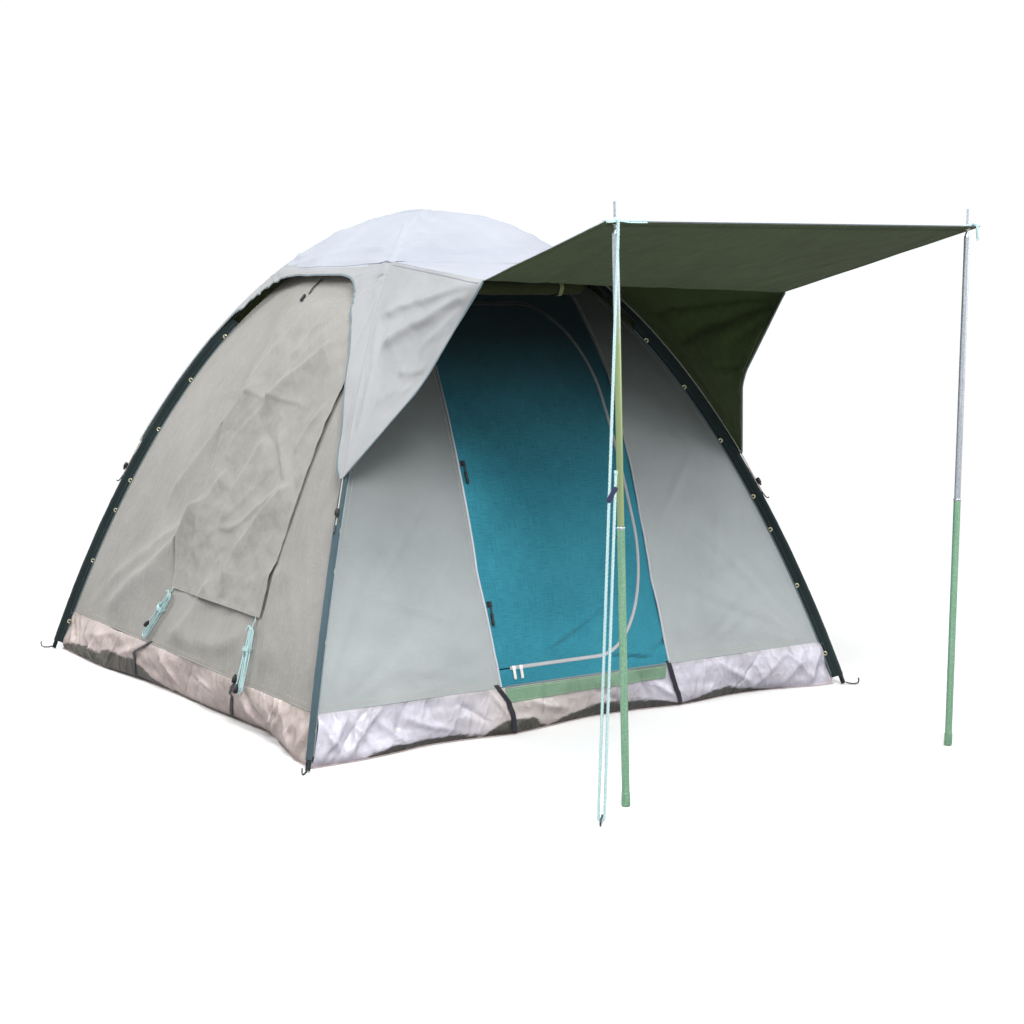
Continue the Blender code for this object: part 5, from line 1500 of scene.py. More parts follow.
def evenly(points, apart):
    run = lengthsAlong(points)
    at = np.linspace(0, run[-1], max(2, int(run[-1] / apart)))
    return np.stack([np.interp(at, run, points[:, k]) for k in range(points.shape[1])], axis=1)


frontCreases = (
    (0.98, 0.62, 0.46, 0.42, 0.014, 0.004), (0.95, 0.5, 0.52, 0.24, 0.016, 0.004),
    (0.72, 0.98, 0.45, 0.7, 0.012, 0.003), (-0.98, 0.58, -0.5, 0.4, 0.012, 0.003),
    (-0.55, 0.92, -0.88, 0.55, 0.014, 0.003), (0.88, 0.36, 0.55, 0.2, 0.012, 0.0035),
    (-0.9, 0.3, -0.5, 0.22, 0.012, 0.0025), (0.8, 0.8, 0.62, 0.3, 0.015, 0.003),
)
netCreases = (
    (0.2, 0.46, -0.2, 0.285, 0.009, 0.009), (0.14, 0.415, -0.14, 0.29, 0.012, -0.01),
    (0.06, 0.234, 0.34, 0.2, 0.006, -0.007), (0.395, 0.275, 0.28, 0.205, 0.012, -0.008),
    (0.1, 0.246, 0.34, 0.216, 0.007, 0.006), (0.26, 0.62, -0.2, 0.44, 0.016, 0.003),
    (-0.38, 0.6, -0.1, 0.3, 0.018, 0.003),
)


def frontFold(x, z):
    room = np.clip((faceReach(z) - np.abs(x)) / 0.08, 0, 1) * np.clip((z - 0.165) / 0.08, 0, 1)
    fold = 0.0032 * soft(x - 0.5 * z, z + 0.4 * x, 0.26, 21) + 0.0018 * soft(x + z, z, 0.09, 22)
    fold = fold + fan(x, z, (-1.2, 0.12), 20, 0.0022, 0.4, 23) + fan(x, z, (1.2, 0.14), 22, 0.0032, 0.4, 24)
    return creased(fold, x, z, frontCreases, 2.0) * room


def netFold(x, z):
    fold = 0.0016 * soft(x, z, 0.3, 31) + 0.0008 * soft(x, z * 0.4, 0.06, 32)
    return creased(fold, x, z, netCreases, 1.6) * np.clip((1.55 - z) / 0.2, 0.2, 1)


def makeFront():
    fold = frontFold
    ends = {
        "left": lambda h: (-faceReach(h) + tent["cornerTrim"], edgeAt(doorLeft, h) - tent["edgeGap"]),
        "right": lambda h: (edgeAt(doorRight, h) + tent["edgeGap"], faceReach(h) - tent["cornerTrim"]),
    }
    rows = sideRows(tent["tubHeight"], tent["wallTop"], 0.015)
    for hand in ("left", "right"):
        # The left front wall takes the shaded copy of the front canvas: painted shade.
        paint = canvasFrontLeftShaded if hand == "left" else canvasFront
        wall = between("front", ends[hand], rows, fold, 60)
        sheetPiece(f"frontWall_{hand}", [f"front_wall_{hand}"], *wall, paint, canvasInside)
        lines = []
        z = np.linspace(0.2, 1.6, 140)
        edge, away = (doorLeft, -1) if hand == "left" else (doorRight, 1)
        for inset in (0.012, 0.018):
            x = edgeAt(edge, z) + away * inset
            lines.append(sewn("front", x, z, fold, stitchLift))
        x = away * (faceReach(z) - 0.022)
        lines.append(sewn("front", x, z, fold, stitchLift))
        low, high = ends[hand](0.2)
        x = np.linspace(low + 0.03, high - 0.02, 80)
        for height in seamHeights:
            z = np.full(80, height)
            lines.append(sewn("front", x, z, fold, stitchLift))
        stitches(f"frontStitches_{hand}", lines, tanThread)
        z = np.linspace(0.178, 1.64, 200)
        x = edgeAt(edge, z) + away * 0.0035
        edging = swept(f"doorPiping_{hand}", onCloth("front", x, z, fold, 0.0032), roundSection(0.004, 10),
                       piping)
        fitted(edging, "tent", "canvas_tan")
    rows = sideRows(1.6427, tent["wallTop"], 0.012)
    lintel = between("front", lambda h: (edgeAt(doorLeft, h), edgeAt(doorRight, h)), rows, fold, 50)
    sheetPiece("frontLintel", ["front_lintel"], *lintel, canvasFront, canvasInside)

    # The netting round the doorway: right of the zip, below it and above it
    outline = zipLine(zipGap, 200)[1:-1]
    outline = outline[np.argsort(outline[:, 1])]
    low, high = tent["tubHeight"], 1.64
    heights = through(low, (8, zipBottom - zipGap), (22, 0.32), (60, 1.5), (20, zipTop + zipGap), (7, high))

    def surroundWhere(u, v):
        start, end = edgeAt(doorLeft, v), edgeAt(doorRight, v)
        inside = (v >= zipBottom - 0.0021) & (v <= zipTop + 0.0021)
        middle = np.where(inside, np.minimum(np.interp(v, outline[:, 1], outline[:, 0]), end - 0.006),
                          start + (end - start) * 0.6)
        along = np.where(u <= 1, start + (middle - start) * u, middle + (end - middle) * (u - 1))
        return onSide("front", along, v, netFold(along, v))

    keep = lambda u, v: ~((u < 1) & (v > zipBottom - zipGap) & (v < zipTop + zipGap))
    sheetPiece("doorSurround", ["door_surround"], through(0, (40, 1), (26, 2)), heights, surroundWhere, netTeal,
               thick=0.0014, slot="mesh_teal", keep=keep)

    door = zipLine(-zipGap, 200)[1:-1]
    door = door[np.argsort(door[:, 1])]
    heights = through(zipBottom + zipGap, (26, 0.32), (80, 1.5), (26, zipTop - zipGap))

    def doorWhere(u, v):
        start = edgeAt(doorLeft, v)
        end = np.interp(v, door[:, 1], door[:, 0])
        along = start + (end - start) * u
        return onSide("front", along, v, netFold(along, v))

    sheetPiece("meshDoor", ["mesh_door"], np.linspace(0, 1, 60), heights, doorWhere, netTeal, thick=0.0014,
               body=doorBend, slot="mesh_teal")

    # Zip: a tape on each side of the D and its teeth
    line = evenly(zipLine(0.0, 80), 0.008)
    turn = unit(np.gradient(line, axis=0))
    for name, away, body in (("zipTapeOuter", 1, "tent"), ("zipTapeInner", -1, doorBend)):
        def beside(room):
            return line[:, 0] + turn[:, 1] * room * away, line[:, 1] - turn[:, 0] * room * away

        x, z = beside(0.004)
        tape(name, *sewn("front", x, z, netFold, 0.0015), 0.0062, zipTape, "white_plastic", 0.0011, body=body)
        stitches(name + "Stitches", [sewn("front", *beside(0.006), netFold, threadLift)], greyThread, body,
                 slot="white_plastic")
    fine = evenly(line, 0.004)
    teeth("zipTeeth", *sewn("front", fine[:, 0], fine[:, 1], netFold, tapeLift), doorBend, toothPaint)


def makeSill():
    low, high = 0.12, 0.172
    inset, foldShare = 0.0135, 0.7
    first, last = float(edgeAt(doorLeft, 0.175)) + inset, float(edgeAt(doorRight, 0.175)) - inset
    def where(u, v):
        gather = 0.0022 * np.sin(u * 95 + 3 * soft(u, v, 0.2, 14)) * np.clip((high - v) / 0.05, 0, 1)
        gather = gather * soft(u, v, 0.16, 13) ** 2
        return onTub("front", u, v, 0.0044 + foldShare * tubFold("front", u, v) + 0.002 * soft(u, v, 0.05, 12)
                     + np.abs(gather))
    sheetPiece("doorSill", ["door_sill"], np.linspace(first, last, 120), np.linspace(low, high, 9), where,
               sillGreen, thick=0.0016, slot="sill_green", restsOn=["tubWall_front"])
    x = np.linspace(first + 0.01, last - 0.01, 90)
    up = np.array(sideAxes["front"][1])
    lines = []
    for height in (0.166, 0.126):
        z = height + 0 * x
        lift = 0.0059 + foldShare * tubFold("front", x, z) + 0.002 * soft(x, z, 0.05, 12)
        lines.append((onTub("front", x, height, lift), up))
    stitches("sillStitches", lines, tanThread, slot="sill_green")
    z = np.full(90, weltHeight)
    tape("sillBinding", onSide("front", np.linspace(first, last, 90), z, 0.003), outFacing("front", z), 0.007,
         binding, "sill_green", 0.0022)


strapRoutes = {
    ("front", "left"): (-0.437, -0.392, -0.38), ("front", "right"): (0.372, 0.392, 0.43),
    ("left", "rear"): (-0.28, -0.405, -0.438), ("left", "front"): (0.58, 0.51, 0.44),
}


# The highest fold of the tub's wall under a strap.
def strapRise(side, along, v):
    highest = np.zeros_like(np.asarray(v, float) + along)
    for aside in np.linspace(-0.014, 0.014, 7):
        for down in (-0.008, 0.0, 0.008):
            highest = np.maximum(highest, tubFold(side, along + aside, v + down))
    return highest


def makeStraps():
    for (side, hand), (topAt, middleAt, footAt) in strapRoutes.items():
        bends = (0.015, 0.1225, 0.188)
        def where(u, v, side=side, route=(footAt, middleAt, topAt)):
            along = np.interp(v, bends, route) + u
            lift = np.where(v > 0.1743, 0.0031, 0.0043)
            return onTub(side, along, v, lift + strapRise(side, along - u, v) + 0.0008 * soft(u * 4, v, 0.03,
                3))
        name = f"pegStrap_{side}_{hand}"
        sheetPiece(name, [f"{side}_peg_strap_{hand}"], np.linspace(-0.01, 0.01, 5), np.linspace(0.015, 0.188,
            40), where, webbing, thick=0.0018,
                   slot="black_webbing", held="hung", restsOn=[f"tubWall_{side}"])
        flat = np.array([(-0.007, 0.183), (0.007, 0.183), (0.007, 0.17), (-0.007, 0.17), (-0.007, 0.183),
                         (0.007, 0.17)])
        along = np.interp(flat[:, 1], bends, (footAt, middleAt, topAt)) + flat[:, 0]
        up = np.array(sideAxes[side][1])
        row = onTub(side, along, flat[:, 1], 0.0064 + strapRise(side, along - flat[:, 0], flat[:, 1]))
        stitches(name + "Stitches", [(row, up)], greyThread, spacing=0.0034, length=0.0022, radius=0.0004,
                 slot="black_webbing")


def makeRoll():
    radius, core, turns = 0.034, 0.008, 3.5
    lift = tent["netting"] + 0.0015 + radius
    centre = onSide("front", 0.0, 1.633, lift)
    total = 2 * math.pi * turns
    length = (radius + core) / 2 * total
    ties, rollDrop = (-0.285, 0.295), 0.013
    def where(u, v):
        share = v / length
        angle = total * share
        pinch = sum(np.exp(-(((u - t) / 0.03) ** 2)) for t in ties)
        size = core + (radius - core) * share - 0.0019
        size = size * (1 - 0.1 * pinch) + 0.0022 * soft(u * 1.4, angle * 0.04, 0.1, 61)
        size = size + 0.0016 * soft(u + angle * 0.01, angle * 0.02, 0.035, 62)
        lean = 0.006 * np.sin(u * 3.1) * (share - 0.5)
        along = u + lean + 0.004 * np.sin(angle * 1.7) * (np.abs(u) > 0.3)
        height = centre[2] - rollDrop + size * np.sin(angle) - 0.003 * (1 - (u / 0.4) ** 2)
        return np.stack([along, centre[1] + size * np.cos(angle), height], axis=-1)
    sheetPiece("stormDoorRoll", ["storm_door_roll"], np.linspace(-0.405, 0.405, 110),
               np.linspace(0, length, 120), where, rollOlive, thick=0.0016,
               slot="olive_canvas", held="folded", restsOn=["doorSurround"], offset=0.0)
    girth = 2 * math.pi * (radius * 0.93 + 0.0016)
    for tie, hand in zip(ties, ("left", "right")):
        def tieWhere(u, v):
            angle = 2 * math.pi * v / (girth * 1.003)
            size = radius * 0.93 + 0.0016 + 0.0008 * np.sin(5 * angle)
            return np.stack([tie + u, centre[1] + size * np.cos(angle), centre[2] - rollDrop - 0.002
                             + size * np.sin(angle)], axis=-1)
        sheetPiece(f"rollTie_{hand}", [f"storm_roll_tie_{hand}"], np.linspace(-0.01, 0.01, 5),
                   np.linspace(0, girth, 60), tieWhere, tieOlive, thick=0.0013,
                   slot="olive_canvas", held="folded", restsOn=["stormDoorRoll"])


def makeRoof():
    edge = float(faceReach(tent["wallTop"])) - tent["edgeGap"]
    def where(u, v):
        distance = np.maximum(np.abs(u), np.abs(v))
        height = np.interp(-distance, -faceLine[:, 0], faceLine[:, 1])
        return np.stack([u, v, height + 0.002 * soft(u, v, 0.2, 80)], axis=-1)
    grid = np.linspace(-edge, edge, 61)
    sheetPiece("innerRoof", ["inner_roof"], grid, grid, where, canvasBack, canvasInside)


makeWalls()
makeFront()
makeSill()
makeStraps()
makeRoll()
makeRoof()
print("walls and front done")


# Corner sleeves with their eyelets, over the bow poles

bow = bowLine(0.0)
bowNormal = bowLine(1.0) - bow
bowIndex = np.arange(len(bow))
bowRun = lengthsAlong(bow)


def stationAt(height):
    return np.interp(height, bow[:, 1], bowIndex)


def bowStations(low, high, count):
    ends = np.interp(stationAt((low, high)), bowIndex, bowRun)
    return np.interp(np.linspace(*ends, count), bowRun, bowIndex)


def bowPoint(corner, station, out, aside=0.0):
    reach = np.interp(station, bowIndex, bow[:, 0]) + out * np.interp(station, bowIndex, bowNormal[:, 0])
    height = np.interp(station, bowIndex, bow[:, 1]) + out * np.interp(station, bowIndex, bowNormal[:, 1])
    return inCorner(corner, reach, height, aside)


sleeve = dict(
    low=0.035, high=1.5, eyelets=(0.135, 0.42, 0.654, 0.791, 1.024, 1.246, 1.44), eyeletOut=-0.0185,
    eyeletAside=0.0022, stitchOuts=(-0.0105, -0.0245), stitchAside=0.0019, weltOut=-0.0262, weltAside=0.0048,
)


def makeSleeves():
    bore = tent["poleRadius"] + 0.0006
    slot, edge, root = 0.0006, -tent["wallSetIn"] + tent["touchGap"], -tent["poleRadius"]
    around = [(tent["poleOut"] + bore * math.cos(a), bore * math.sin(a))
              for a in np.radians(np.linspace(125, -125, 17))]
    fin = [(e, slot) for e in np.linspace(edge, root, 6)]
    section = np.array((fin + around + [(e, -s) for e, s in fin[::-1]])[::-1])
    rows = bowStations(sleeve["low"], sleeve["high"], 130)
    girth = lengthsAlong(section)
    for corner in corners:
        def where(u, v, corner=corner):
            out = np.interp(u, girth, section[:, 0])
            aside = np.interp(u, girth, section[:, 1])
            tunnel = np.clip((out - root) / 0.006, 0, 1)
            seam = np.clip(1 - np.abs(out - root) / 0.006, 0, 1)
            pucker = 0.0009 * soft(v, aside * 3, 0.03, 90) * tunnel + 0.0007 * np.sin(v / 0.021) * seam
            aside = aside + np.sign(aside) * np.abs(pucker)
            station = np.interp(v, bowRun, bowIndex)
            return bowPoint(corner, station, out + np.abs(pucker), aside)
        v = np.interp(rows, bowIndex, bowRun)
        name = f"cornerSleeve_{corner}"
        # The front-left sleeve and its welts take the lighter, lit copies of the slate paints: painted light.
        sheetPiece(name, [f"corner_sleeve_{corner}"], girth, v, where, slateLit if corner == "front_left"
                   else slate, thick=0.0012, slot="strip_slate", held="stretched")
        stations = stationAt(sleeve["eyelets"])
        points, facings = [], []
        x, y = np.array(corners[corner]) / math.sqrt(2)
        for hand in (-1, 1):
            points += list(bowPoint(corner, stations, sleeve["eyeletOut"], hand * sleeve["eyeletAside"]))
            facings += [(-y * hand, x * hand, 0.0)] * len(stations)
        eyelets(f"sleeveEyelets_{corner}", points, facings, ring=0.0072, rim=0.003)
        fine = bowStations(0.05, 1.49, 160)
        lines = []
        for hand in (-1, 1):
            for out in sleeve["stitchOuts"]:
                row = bowPoint(corner, fine, out, hand * sleeve["stitchAside"])
                lines.append((row, (-y * hand, x * hand, 0.0)))
        stitches(f"sleeveStitches_{corner}", lines, greyThread, slot="strip_slate")
        pieces = []
        for hand in (-1, 1):
            line = bowPoint(corner, fine, sleeve["weltOut"], hand * sleeve["weltAside"])
            pieces.append(swept("welt", line, roundSection(0.0032, 8), slateBindingLit if corner == "front_left"
                                else slateBinding))
        joined(f"sleeveWelt_{corner}", pieces, "tent", "strip_slate")


# Flysheet

# (height, half the opening's width): on a side wall towards the front or the rear, and over the back
archLines = {
    "front": (
        (0.96, 0.915), (0.991, 0.88), (1.071, 0.818), (1.185, 0.745), (1.352, 0.619), (1.451, 0.533),
        (1.556, 0.418), (1.609, 0.364), (1.633, 0.33), (1.66, 0.275), (1.676, 0.225), (1.686, 0.165),
        (1.69, 0.12),
    ),
    "rear": (
        (0.96, 0.945), (1.0, 0.925), (1.092, 0.876), (1.268, 0.782), (1.392, 0.706), (1.48, 0.632),
        (1.56, 0.552), (1.61, 0.494), (1.645, 0.442), (1.67, 0.385), (1.682, 0.32), (1.688, 0.27),
        (1.69, 0.235),
    ),
    "back": (
        (0.96, 0.931), (1.0, 0.905), (1.092, 0.859), (1.268, 0.728), (1.392, 0.622), (1.48, 0.552),
        (1.587, 0.492), (1.645, 0.442), (1.67, 0.385), (1.682, 0.32), (1.688, 0.27), (1.69, 0.235),
    ),
}
tent.update(arch=1.69, archUp=0.1)
archTables = {}
for name, points in archLines.items():
    archTables[name] = smoothRoute([(x, 0.0, z) for z, x in points], 0.004)


# Half the width of the opening over a wall, at a height.
def archEdge(height, hand, side):
    ahead = {"left": 1, "right": -1}.get(side, 0)
    table = archTables["back" if side == "back" else "front" if hand * ahead > 0 else "rear"]
    return np.interp(height, table[:, 2], table[:, 0])


flyFolds = {
    "front": (
        (-0.44, 1.79, 0.42, 1.8, 0.007, 0.009), (-0.44, 1.781, 0.42, 1.791, 0.005, -0.008),
        (-0.36, 1.86, 0.06, 1.845, 0.012, 0.006), (-0.36, 1.905, -0.46, 1.8, 0.01, -0.024),
        (-0.33, 1.88, -0.43, 1.79, 0.008, 0.022), (-0.28, 1.885, -0.4, 1.845, 0.007, -0.018),
        (-0.24, 1.935, -0.33, 1.885, 0.009, 0.02), (-0.4, 1.835, -0.47, 1.775, 0.007, -0.018),
        (-0.42, 1.815, -0.2, 1.81, 0.008, 0.01), (-0.3, 1.9, 0.3, 1.9, 0.01, 0.006),
    ),
    "left": (
        (0.5, 1.76, 0.24, 1.9, 0.012, 0.022), (0.47, 1.79, 0.36, 1.86, 0.008, -0.018),
        (0.4, 1.8, 0.1, 1.79, 0.01, 0.01), (0.5, 1.735, 0.2, 1.726, 0.006, -0.006),
        (0.52, 1.72, 0.4, 1.5, 0.012, 0.007), (0.44, 1.74, -0.1, 1.745, 0.008, 0.006),
        (0.3, 1.86, -0.2, 1.8, 0.01, 0.006), (-0.3, 1.72, -0.56, 1.68, 0.012, 0.006),
        (0.1, 1.8, -0.36, 1.74, 0.01, 0.006),
    ),
    "right": (
        (-0.5, 1.76, -0.24, 1.9, 0.012, 0.01), (0.44, 1.74, -0.1, 1.745, 0.008, 0.006),
    ),
    "back": (
        (0.5, 1.76, 0.24, 1.9, 0.012, 0.01), (-0.3, 1.86, 0.2, 1.8, 0.01, 0.006),
    ),
}


# The share runs from 0 in the middle of a side to 1 at its ridges.
def flyFold(side, x, z, share):
    seed = 110 + 7 * sideNames.index(side)
    edge = np.clip((1 - np.abs(share)) / 0.05, 0, 1)
    fold = 0.006 * soft(x * 0.8 + z, z * 1.3 - x, 0.3, seed) + 0.0026 * soft(x + z, z, 0.085, seed + 1)
    fold = creased(fold, x, z, flyFolds[side])
    near = np.exp(-((np.abs(x) - ridgeAt(z) / math.sqrt(2) + 0.03) / 0.05) ** 2)
    fold = fold + 0.01 * near * soft(z * 3, x * 0.4, 0.06, seed + 2) * np.clip((z - 1.7) / 0.04, 0.2, 1)
    for knot in (-0.523, 0.523):
        spread = fan(x, z, (knot, tent["knuckle"]), 15, 0.006, 0.14, seed + 3)
        fold = fold + spread * np.exp(-np.hypot(x - knot, z - tent["knuckle"]) / 0.4)
    return fold * edge


# Where the legs begin, below the hem over each opening.
def legTop(point):
    return 1.742 - 0.022 * min(1.0, abs(abs(point.x) - abs(point.y)) / 0.3)


def makeFly():
    low = np.interp(tent["tipHeight"], ridge[:, 1], ridgeLength)
    arch = np.interp(tent["arch"], ridge[:, 1], ridgeLength)
    centre = np.interp(tent["arch"] - tent["archUp"], ridge[:, 1], ridgeLength)
    knee = np.interp(tent["knuckle"], ridge[:, 1], ridgeLength)
    legRows = np.concatenate([np.linspace(low, centre, 44)[:-1],
        centre + (arch - centre) * np.sin(np.linspace(0, math.pi / 2, 30))])
    topRows = through(arch, (6, knee), (46, ridgeLength[-1]))[1:]
    points, faces, cut, base = [], [], [], 0
    inner, outer = 16, 22
    for side in sideNames:
        kept = np.concatenate([legRows, topRows]) if side != "front" else np.linspace(knee, ridgeLength[-1], 46)
        height = np.interp(kept, ridgeLength, ridge[:, 1])
        reach = np.interp(kept, ridgeLength, ridge[:, 0]) / math.sqrt(2)
        s = through(-2, (outer, -1), (2 * inner + 1, 1), (outer, 2))
        halves = []
        for hand in (-1, 1):
            top = float(archEdge(tent["arch"], hand, side)) / float(ridgeAt(tent["arch"]) / math.sqrt(2))
            middle = np.where(height < tent["arch"] - 1e-6, archEdge(height, hand, side) / reach, top)
            halves.append(np.minimum(middle, 0.9995))
        steps = np.broadcast_to(s, (len(kept), len(s)))
        edges = np.where(steps < 0, halves[0][:, None], halves[1][:, None])
        heights = np.broadcast_to(height[:, None], steps.shape)
        reaches = np.broadcast_to(reach[:, None], steps.shape)
        share = np.where(np.abs(steps) <= 1, steps * edges,
                         np.sign(steps) * (edges + (1 - edges) * (np.abs(steps) - 1)))
        x = share * reaches
        runs = np.broadcast_to(kept[:, None], steps.shape)
        outward = np.interp(runs, ridgeLength, ridgeSlope[:, 1])
        upward = np.interp(runs, ridgeLength, -ridgeSlope[:, 0])
        fold = flyFold(side, x, heights, share)
        spot = stand(side, x, reaches + outward * fold, heights + upward * (fold + 0 * x))
        inArch = (side != "front") & (kept[:-1, None] < arch - 1e-6) & (np.abs(s[:-1] + s[1:]) / 2 < 1)
        faces.append(gridQuads(*steps.shape, base)[~inArch])
        points.append(spot.reshape(-1, 3))
        cut.append(np.stack([x.ravel(), runs.ravel()], axis=1))
        base += steps.size
    points, cut, faces = (np.concatenate(found) for found in (points, cut, faces))
    used, flat = np.unique(faces, return_inverse=True)
    mesh = newMesh("flyRoof", points[used], flat.reshape(-1, 4), cut[used], [flyTop, flyUnder, flyShaded,
        flyUnder])
    # Faces below the legs' top take the shaded copy of the fly paint.
    for face in mesh.polygons:
        face.material_index = 2 if face.center.z < legTop(face.center) else 0
    work = bmesh.new()
    work.from_mesh(mesh)
    bmesh.ops.remove_doubles(work, verts=work.verts, dist=0.0002)
    area = sum(face.calc_area() for face in work.faces)
    work.to_mesh(mesh)
    work.free()
    piece = fitted(thickened(place("flyRoof", mesh), 0.002, 1.0), "tent", "fly_canvas", "flysheet_roof")
    wide = math.sqrt(area / 0.62)
    sheetSizes.append(("flyRoof", round(wide, 3), round(wide, 3), round(area, 3)))

    # A pale binding along each opening and a row of stitches beside it
    for side in ("right", "back", "left"):
        z = np.concatenate([np.linspace(tent["tipHeight"], 1.59, 90),
                            1.59 + 0.1 * np.sin(np.linspace(0, math.pi / 2, 40))[1:]])
        right, left = (np.stack([hand * archEdge(z, hand, side), z], axis=1) for hand in (1, -1))
        across = np.stack([np.linspace(right[-1, 0], left[-1, 0], 40)[1:-1], np.full(38, tent["arch"])], axis=1)
        line = evenly(np.concatenate([right, across, left[::-1]]), 0.01)
        def spot(points, lift):
            x, height = points[:, 0], points[:, 1]
            reach = ridgeAt(height) / math.sqrt(2)
            share = x / reach
            fold = flyFold(side, x, height, share) + lift
            station = np.interp(height, ridge[:, 1], np.arange(len(ridge)))
            outward = np.interp(station, np.arange(len(ridge)), ridgeSlope[:, 1])
            upward = np.interp(station, np.arange(len(ridge)), -ridgeSlope[:, 0])
            return stand(side, x, reach + outward * fold, height + upward * fold), stand(side, 0 * x, outward,
                upward)
        shift = unit(np.gradient(line, axis=0))
        inside = line + np.stack([shift[:, 1], -shift[:, 0]], axis=1) * 0.004
        points, normals = spot(inside, 0.0017)
        tape(f"flyBinding_{side}", points, normals, 0.0085, binding, "fly_canvas", 0.0011)
        stitchLine = line + np.stack([shift[:, 1], -shift[:, 0]], axis=1) * 0.0135
        points, normals = spot(stitchLine[6:-6], 0.0024)
        stitches(f"flyStitches_{side}", [(points, normals)], tanThread, slot="fly_canvas")
        if side == "left":
            x = np.linspace(-0.46, 0.505, 120)
            height = 1.7255 + 0.014 * np.clip((x - 0.1) / 0.4, 0, 1) + 0.008 * np.clip((-0.2 - x) / 0.3, 0, 1)
            seam = np.stack([x, height], axis=1)
            points, normals = spot(seam, 0.0018)
            tape("flySeam_left", points, normals, 0.004, seamGrey, "fly_canvas", 0.001)


# Awning and its wings

awningSize, awningHem, wingLength = (1.5, 1.68), 0.985, 0.85


def awningFold(across, out):
    fold = 0.004 * soft(across * 1.5, out * 1.2, 0.35, 150) + 0.0016 * soft(across * 1.6 + out, out, 0.1, 151)
    for hand in (0, 1):
        for reach, bend in ((0.55, 0.1), (0.75, 0.32), (0.5, 0.6)):
            end = (hand + (1 - 2 * hand) * reach * 0.6, awningHem - bend)
            fold = fold + crease(across, out, (hand, awningHem), end, 0.02, -0.004)
    return -np.abs(fold) * np.sin(math.pi * np.clip(out, 0, 1)) ** 0.4


def makeAwning():
    def where(u, v):
        out = 1 - v / awningSize[1]
        across = u / awningSize[0] + 0.5
        point = awningPoint(across, out)
        point[..., 2] += awningFold(across, out)
        return point
    sheetPiece("awningCloth", ["awning"], np.linspace(-awningSize[0] / 2, awningSize[0] / 2, 100),
               np.linspace(0, awningSize[1], 110), where, flyTop, flyUnder, slot="fly_canvas",
                       held="stretched", restsOn=["awning_pole_left_upper", "awning_pole_right_upper"])
    wide, long = np.linspace(0.02, 0.98, 120), np.linspace(0.02, 0.97, 120)
    lines = []
    for across, out in ((wide, awningHem), (wide, 0.978), (0.012, long), (0.988, long)):
        line = awningPoint(across, out)
        line[:, 2] += awningFold(across, out) - 0.0006
        lines.append((line, (0, 0, -1)))
    stitches("awningStitches", lines, darkThread, slot="fly_canvas")
    across = np.linspace(0, 1, 100)
    front = awningPoint(across, 1.0) + (0, 0.004, tapeLift)
    tape("awningFrontHem", front, (0, 0, 1), 0.014, binding, "fly_canvas", 0.0012)
    for hand in (-1, 1):
        spike = np.array(spikePlace(hand))
        name = f"awningEyelets_{'left' if hand < 0 else 'right'}"
        faces = [spike + (0, 0, 0.0031), spike - (0, 0, 0.0006)]
        eyelets(name, faces, [(0, 0, 1), (0, 0, -1)], ring=0.0088, rim=0.0026)


wingFolds = (
    # a bent line of (across, up), the depth, the widths of the slow and the steep slope
    (((-0.02, 0.99), (0.16, 0.935), (0.5, 0.835), (0.92, 0.715)), 0.024, 0.065, 0.034),
    (((-0.02, 0.955), (0.2, 0.835), (0.44, 0.72), (0.78, 0.57)), 0.03, 0.075, 0.04),
    (((-0.02, 0.9), (0.12, 0.76), (0.26, 0.62)), 0.01, 0.04, 0.05),
    (((0.06, 0.56), (0.2, 0.53), (0.4, 0.5)), 0.01, 0.05, 0.022),
    (((0.1, 0.47), (0.3, 0.43), (0.55, 0.33)), 0.008, 0.06, 0.04),
    (((0.96, 0.72), (0.8, 0.42), (0.7, 0.16)), 0.008, 0.06, 0.08),
)


def wingFold(hand, across, up):
    fold = 0.005 * np.sin(3 * math.pi * (up + 0.35 * across)) * np.sin(math.pi * across) * np.sin(math.pi * up)
    seed = 170 if hand < 0 else 180
    more = (
        0.004 * soft(across + up * 1.4, up - across * 0.6, 0.22, seed) + 0.0012 * soft(across * 1.3, up * 2.2,
            0.07, seed + 1)
    )
    for line in wingFolds:
        more = more + ridgeLine(across, up, *line)
    edge = np.clip(across / 0.02, 0, 1) * np.clip((1 - across) / 0.08, 0, 1)
    edge = edge * np.clip((1 - up) / 0.03, 0, 1) * np.clip(up / 0.1, 0, 1)
    return fold + more * edge


